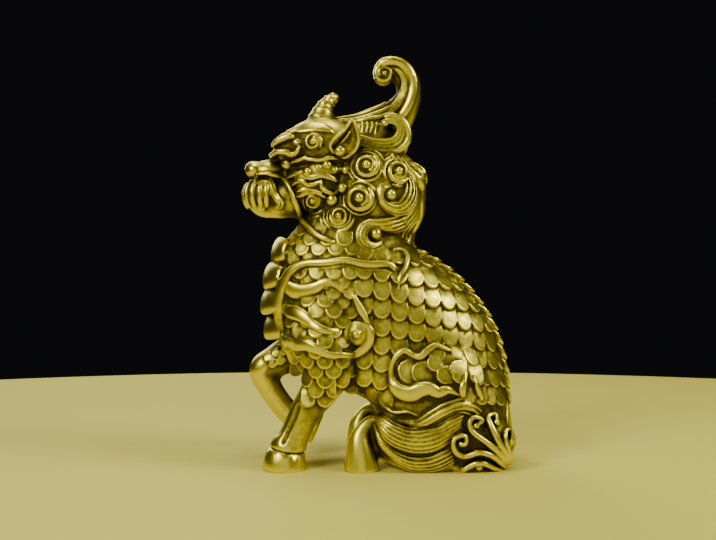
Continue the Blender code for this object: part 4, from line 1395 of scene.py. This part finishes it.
# %% Engraved lines: side, half width, depth, then x, z points
MOUTH = ((-27.8, 59.3), (-25.8, 59.2), (-24.4, 59.4), (-23.2, 59.3))
GROOVES = (
    (-1, 0.40, 0.40, ((-23.4, 4.8), (-22.1, 4.6), (-20.3, 4.2), (-17.8, 3.7), (-15.2, 3.4), (-14.4, 3.4))),
    (-1, 0.60, 0.35, ((-16.4, 12.9), (-17.4, 10.3), (-18.7, 7.4), (-19.3, 5.9))),
    (-1, 0.5, 0.7, MOUTH), (1, 0.5, 0.7, MOUTH),
)
MIDDLE_GAP = 0.8


def engrave(mesh, grooves):
    """Press narrow lines into the skin on one side each."""
    points, normals = read_points(mesh), point_normals(mesh)
    for side, half_width, depth, path in grooves:
        places = smooth_path(path, 12)
        low, high = places.min(axis=0) - 1, places.max(axis=0) + 1
        level = points[:, (0, 2)]
        near = (points[:, 1] * side > MIDDLE_GAP) & ((level > low) & (level < high)).all(axis=1)
        near = np.where(near)[0]
        flat = points[near][:, (0, 2)]
        away = np.linalg.norm(flat[:, None, :] - places[None, :, :], axis=2).min(axis=1)
        share = np.clip(1 - (away / half_width) ** 2, 0, 1) ** 1.5
        points[near] -= normals[near] * (share * depth)[:, None]
    write_points(mesh, points)

# %% Cut the underside flat and thin the skin
def cut_flat(mesh):
    """Everything below z = 0 goes, and the cut is closed."""
    bm = bmesh.new()
    bm.from_mesh(mesh)
    everything = bm.verts[:] + bm.edges[:] + bm.faces[:]
    bmesh.ops.bisect_plane(bm, geom=everything, plane_co=(0, 0, 0), plane_no=(0, 0, 1),
                           clear_inner=True)
    rim = [edge for edge in bm.edges if edge.is_boundary]
    bmesh.ops.holes_fill(bm, edges=rim, sides=0)
    bmesh.ops.triangulate(bm, faces=bm.faces)
    bm.to_mesh(mesh)
    bm.free()


def thinned(mesh, triangles):
    """The same skin with fewer triangles, kept where it bends most."""
    thing = work_object("thinned", mesh)
    modifier = thing.modifiers.new("thin", "DECIMATE")
    modifier.ratio = min(1.0, triangles / len(mesh.polygons))
    return finished_mesh(thing, "qilin_cast")


engrave(casting, GROOVES)
cut_flat(casting)
casting = thinned(casting, TRIANGLES)
print("Casting:", len(casting.polygons), "triangles")

# %% Move it from millimetres to the solid's place
PLAN_SHIFT = np.array((0.19, 0.11, 0.0))
points = read_points(casting)
print("Size, mm:", np.ptp(points, axis=0).round(2))
write_points(casting, (points + PLAN_SHIFT) * MM)
for polygon in casting.polygons:
    polygon.use_smooth = True

# %% [markdown]
# ## Where the stain and painted shade go
# The dark stain stays in the hollows and is rubbed off the raised places. Two measures
# set the colour. Relief compares the skin with a smoothed copy of itself and tells hollows
# from raised places. Shelter counts how much of the sky above a point is hidden by the
# carving around it, and it paints shade: darker where more of the sky is hidden, lighter
# where less is.

# %% Measure relief and shelter
def edge_pairs(mesh):
    flat = np.empty(len(mesh.edges) * 2, dtype=int)
    mesh.edges.foreach_get("vertices", flat)
    return flat.reshape(-1, 2)


def smoothed(points, pairs, rounds):
    """Points moved to the mean of their neighbours, several times."""
    count = len(points)
    share = np.bincount(pairs.ravel(), minlength=count)[:, None]
    out = points.copy()
    for _ in range(rounds):
        total = np.stack([np.bincount(pairs[:, 0], out[pairs[:, 1], i], count)
                          + np.bincount(pairs[:, 1], out[pairs[:, 0], i], count)
                          for i in range(3)], axis=1)
        out = 0.5 * out + 0.5 * total / share
    return out


def relief(points, normals, pairs, rounds):
    """Height of the skin over its own smoothed copy, in mm."""
    return ((points - smoothed(points, pairs, rounds)) * normals).sum(axis=1) / MM


def shelter(mesh, points, normals, rays, reach):
    """Share of the directions above each point that meet the casting within reach."""
    corners = np.empty(len(mesh.polygons) * 3, dtype=int)
    mesh.polygons.foreach_get("vertices", corners)
    tree = BVHTree.FromPolygons(points.tolist(), corners.reshape(-1, 3).tolist())
    turn = np.arange(rays) * math.pi * (3 - math.sqrt(5))
    rise = np.sqrt(1 - (np.arange(rays) + 0.5) / rays)
    flat = np.sqrt(1 - rise ** 2)
    fan = np.stack([flat * np.cos(turn), flat * np.sin(turn), rise], axis=1)
    helper = np.where(np.abs(normals[:, 2:3]) < 0.9, (0.0, 0.0, 1.0), (1.0, 0.0, 0.0))
    across = unit_rows(np.cross(normals, helper))
    upward = np.cross(normals, across)
    starts = points + normals * (0.03 * MM)
    hidden = np.zeros(len(points))
    for ray in fan:
        heads = across * ray[0] + upward * ray[1] + normals * ray[2]
        hits = [tree.ray_cast(s, h, reach)[0] is not None
                for s, h in zip(starts.tolist(), heads.tolist())]
        hidden += np.array(hits)
    return hidden / rays


def averaged(values, pairs):
    """Each point's value mixed half and half with its neighbours' mean."""
    count = len(values)
    total = (np.bincount(pairs[:, 0], values[pairs[:, 1]], count)
             + np.bincount(pairs[:, 1], values[pairs[:, 0]], count))
    return 0.5 * values + 0.5 * total / np.bincount(pairs.ravel(), minlength=count)


FINE_ROUNDS = 6
BROAD_ROUNDS = 40
SHELTER_RAYS = 16
SHELTER_REACH = 5 * MM
points, normals, pairs = read_points(casting), point_normals(casting), edge_pairs(casting)
fine_relief = relief(points, normals, pairs, FINE_ROUNDS)
broad_relief = relief(points, normals, pairs, BROAD_ROUNDS)
# Shelter is used below as painted shade in the brass colour.
sheltered = averaged(shelter(casting, points, normals, SHELTER_RAYS, SHELTER_REACH), pairs)
add_attribute(casting, "fine_relief", "FLOAT", fine_relief)
add_attribute(casting, "broad_relief", "FLOAT", broad_relief)
add_attribute(casting, "shelter", "FLOAT", sheltered)
print("Relief, mm:", np.percentile(fine_relief, (2, 50, 98)).round(3),
      np.percentile(broad_relief, (2, 50, 98)).round(3), "shelter", sheltered.mean().round(2))

# %% [markdown]
# ## Antique brass
# The finish is bare brass under a dark olive stain. The stain's strength comes from the
# relief attribute, with a little uneven mottling. The shelter attribute adds painted shade
# on top, darker where the carving hides more of the sky and lighter where it hides less.
# Polished places are smooth and yellow, and stained or shaded ones are rougher and darker.
# A very fine grain from the casting shows on both.

# %% The material
brass = bpy.data.materials.new("antique_brass")
brass.use_nodes = True
nodes, links = brass.node_tree.nodes, brass.node_tree.links
shader = nodes["Principled BSDF"]
shader.inputs["Metallic"].default_value = 1.0


def math_node(operation, first, second, clamp=False):
    node = nodes.new("ShaderNodeMath")
    node.operation = operation
    node.use_clamp = clamp
    for socket, value in zip(node.inputs, (first, second)):
        if isinstance(value, (int, float)):
            socket.default_value = value
        else:
            links.new(value, socket)
    return node.outputs["Value"]


def attribute(name):
    node = nodes.new("ShaderNodeAttribute")
    node.attribute_name = name
    return node.outputs["Fac"]


def noise(scale, detail):
    node = nodes.new("ShaderNodeTexNoise")
    node.inputs["Scale"].default_value = scale
    node.inputs["Detail"].default_value = detail
    links.new(place_node.outputs["Object"], node.inputs["Vector"])
    return node.outputs["Fac"]


FINE_GAIN, BROAD_GAIN, OPEN_GAIN = 3.0, 0.65, 1.3
USUAL_SHELTER = 0.14
BASE_POLISH = 0.41
MOTTLE_SCALE, SPECKLE_SCALE, GRAIN_SCALE = 420.0, 1300.0, 2600.0
# The dark end is the olive stain in the hollows, and also painted shade where the shelter term pulls the
# colour down.
STAIN_AND_SHADE = (0.070, 0.054, 0.007, 1)
RUBBED = (0.30, 0.250, 0.024, 1)
BRIGHT = (0.90, 0.78, 0.08, 1)

place_node = nodes.new("ShaderNodeTexCoord")
raised = math_node("MULTIPLY", attribute("fine_relief"), FINE_GAIN)
raised = math_node("ADD", raised, math_node("MULTIPLY", attribute("broad_relief"), BROAD_GAIN))
# Painted shade and light: sheltered points are pulled towards the dark end of the ramp, open points
# towards bright brass.
open_share = math_node("SUBTRACT", USUAL_SHELTER, attribute("shelter"))
polish_and_shade = math_node("ADD", raised, math_node("MULTIPLY", open_share, OPEN_GAIN))
mottle = math_node("SUBTRACT", noise(MOTTLE_SCALE, 4.0), 0.5)
polish_and_shade = math_node("ADD", polish_and_shade, math_node("MULTIPLY", mottle, 0.5))
speckle = math_node("SUBTRACT", noise(SPECKLE_SCALE, 5.0), 0.5)
polish_and_shade = math_node("ADD", polish_and_shade, math_node("MULTIPLY", speckle, 0.6))
polish_and_shade = math_node("ADD", polish_and_shade, BASE_POLISH, clamp=True)

ramp = nodes.new("ShaderNodeValToRGB")
ramp.color_ramp.elements[0].position = 0.0
ramp.color_ramp.elements[0].color = STAIN_AND_SHADE
ramp.color_ramp.elements[1].position = 1.0
ramp.color_ramp.elements[1].color = BRIGHT
ramp.color_ramp.elements.new(0.45).color = RUBBED
links.new(polish_and_shade, ramp.inputs["Fac"])
links.new(ramp.outputs["Color"], shader.inputs["Base Color"])

rough = math_node("SUBTRACT", 0.54, math_node("MULTIPLY", polish_and_shade, 0.22))
rough = math_node("ADD", rough, math_node("MULTIPLY", mottle, 0.10))
links.new(rough, shader.inputs["Roughness"])

grain = nodes.new("ShaderNodeBump")
grain.inputs["Strength"].default_value = 0.2
grain.inputs["Distance"].default_value = 0.1 * MM
links.new(noise(GRAIN_SCALE, 3.0), grain.inputs["Height"])
links.new(grain.outputs["Normal"], shader.inputs["Normal"])

# %% [markdown]
# ## Hand it to the frame
# The casting stands for the imported solid, which is hidden, and rides on its only body.
# Its finish is the antique brass material made above.

# %% Place and name
casting.materials.clear()
casting.materials.append(brass)
qilin = bpy.data.objects.new("qilin_cast", casting)
bpy.context.scene.collection.objects.link(qilin)
bpy.data.objects.remove(tile)
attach(qilin, "root")
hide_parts("qilin_figure")
bpy.context.view_layer.update()
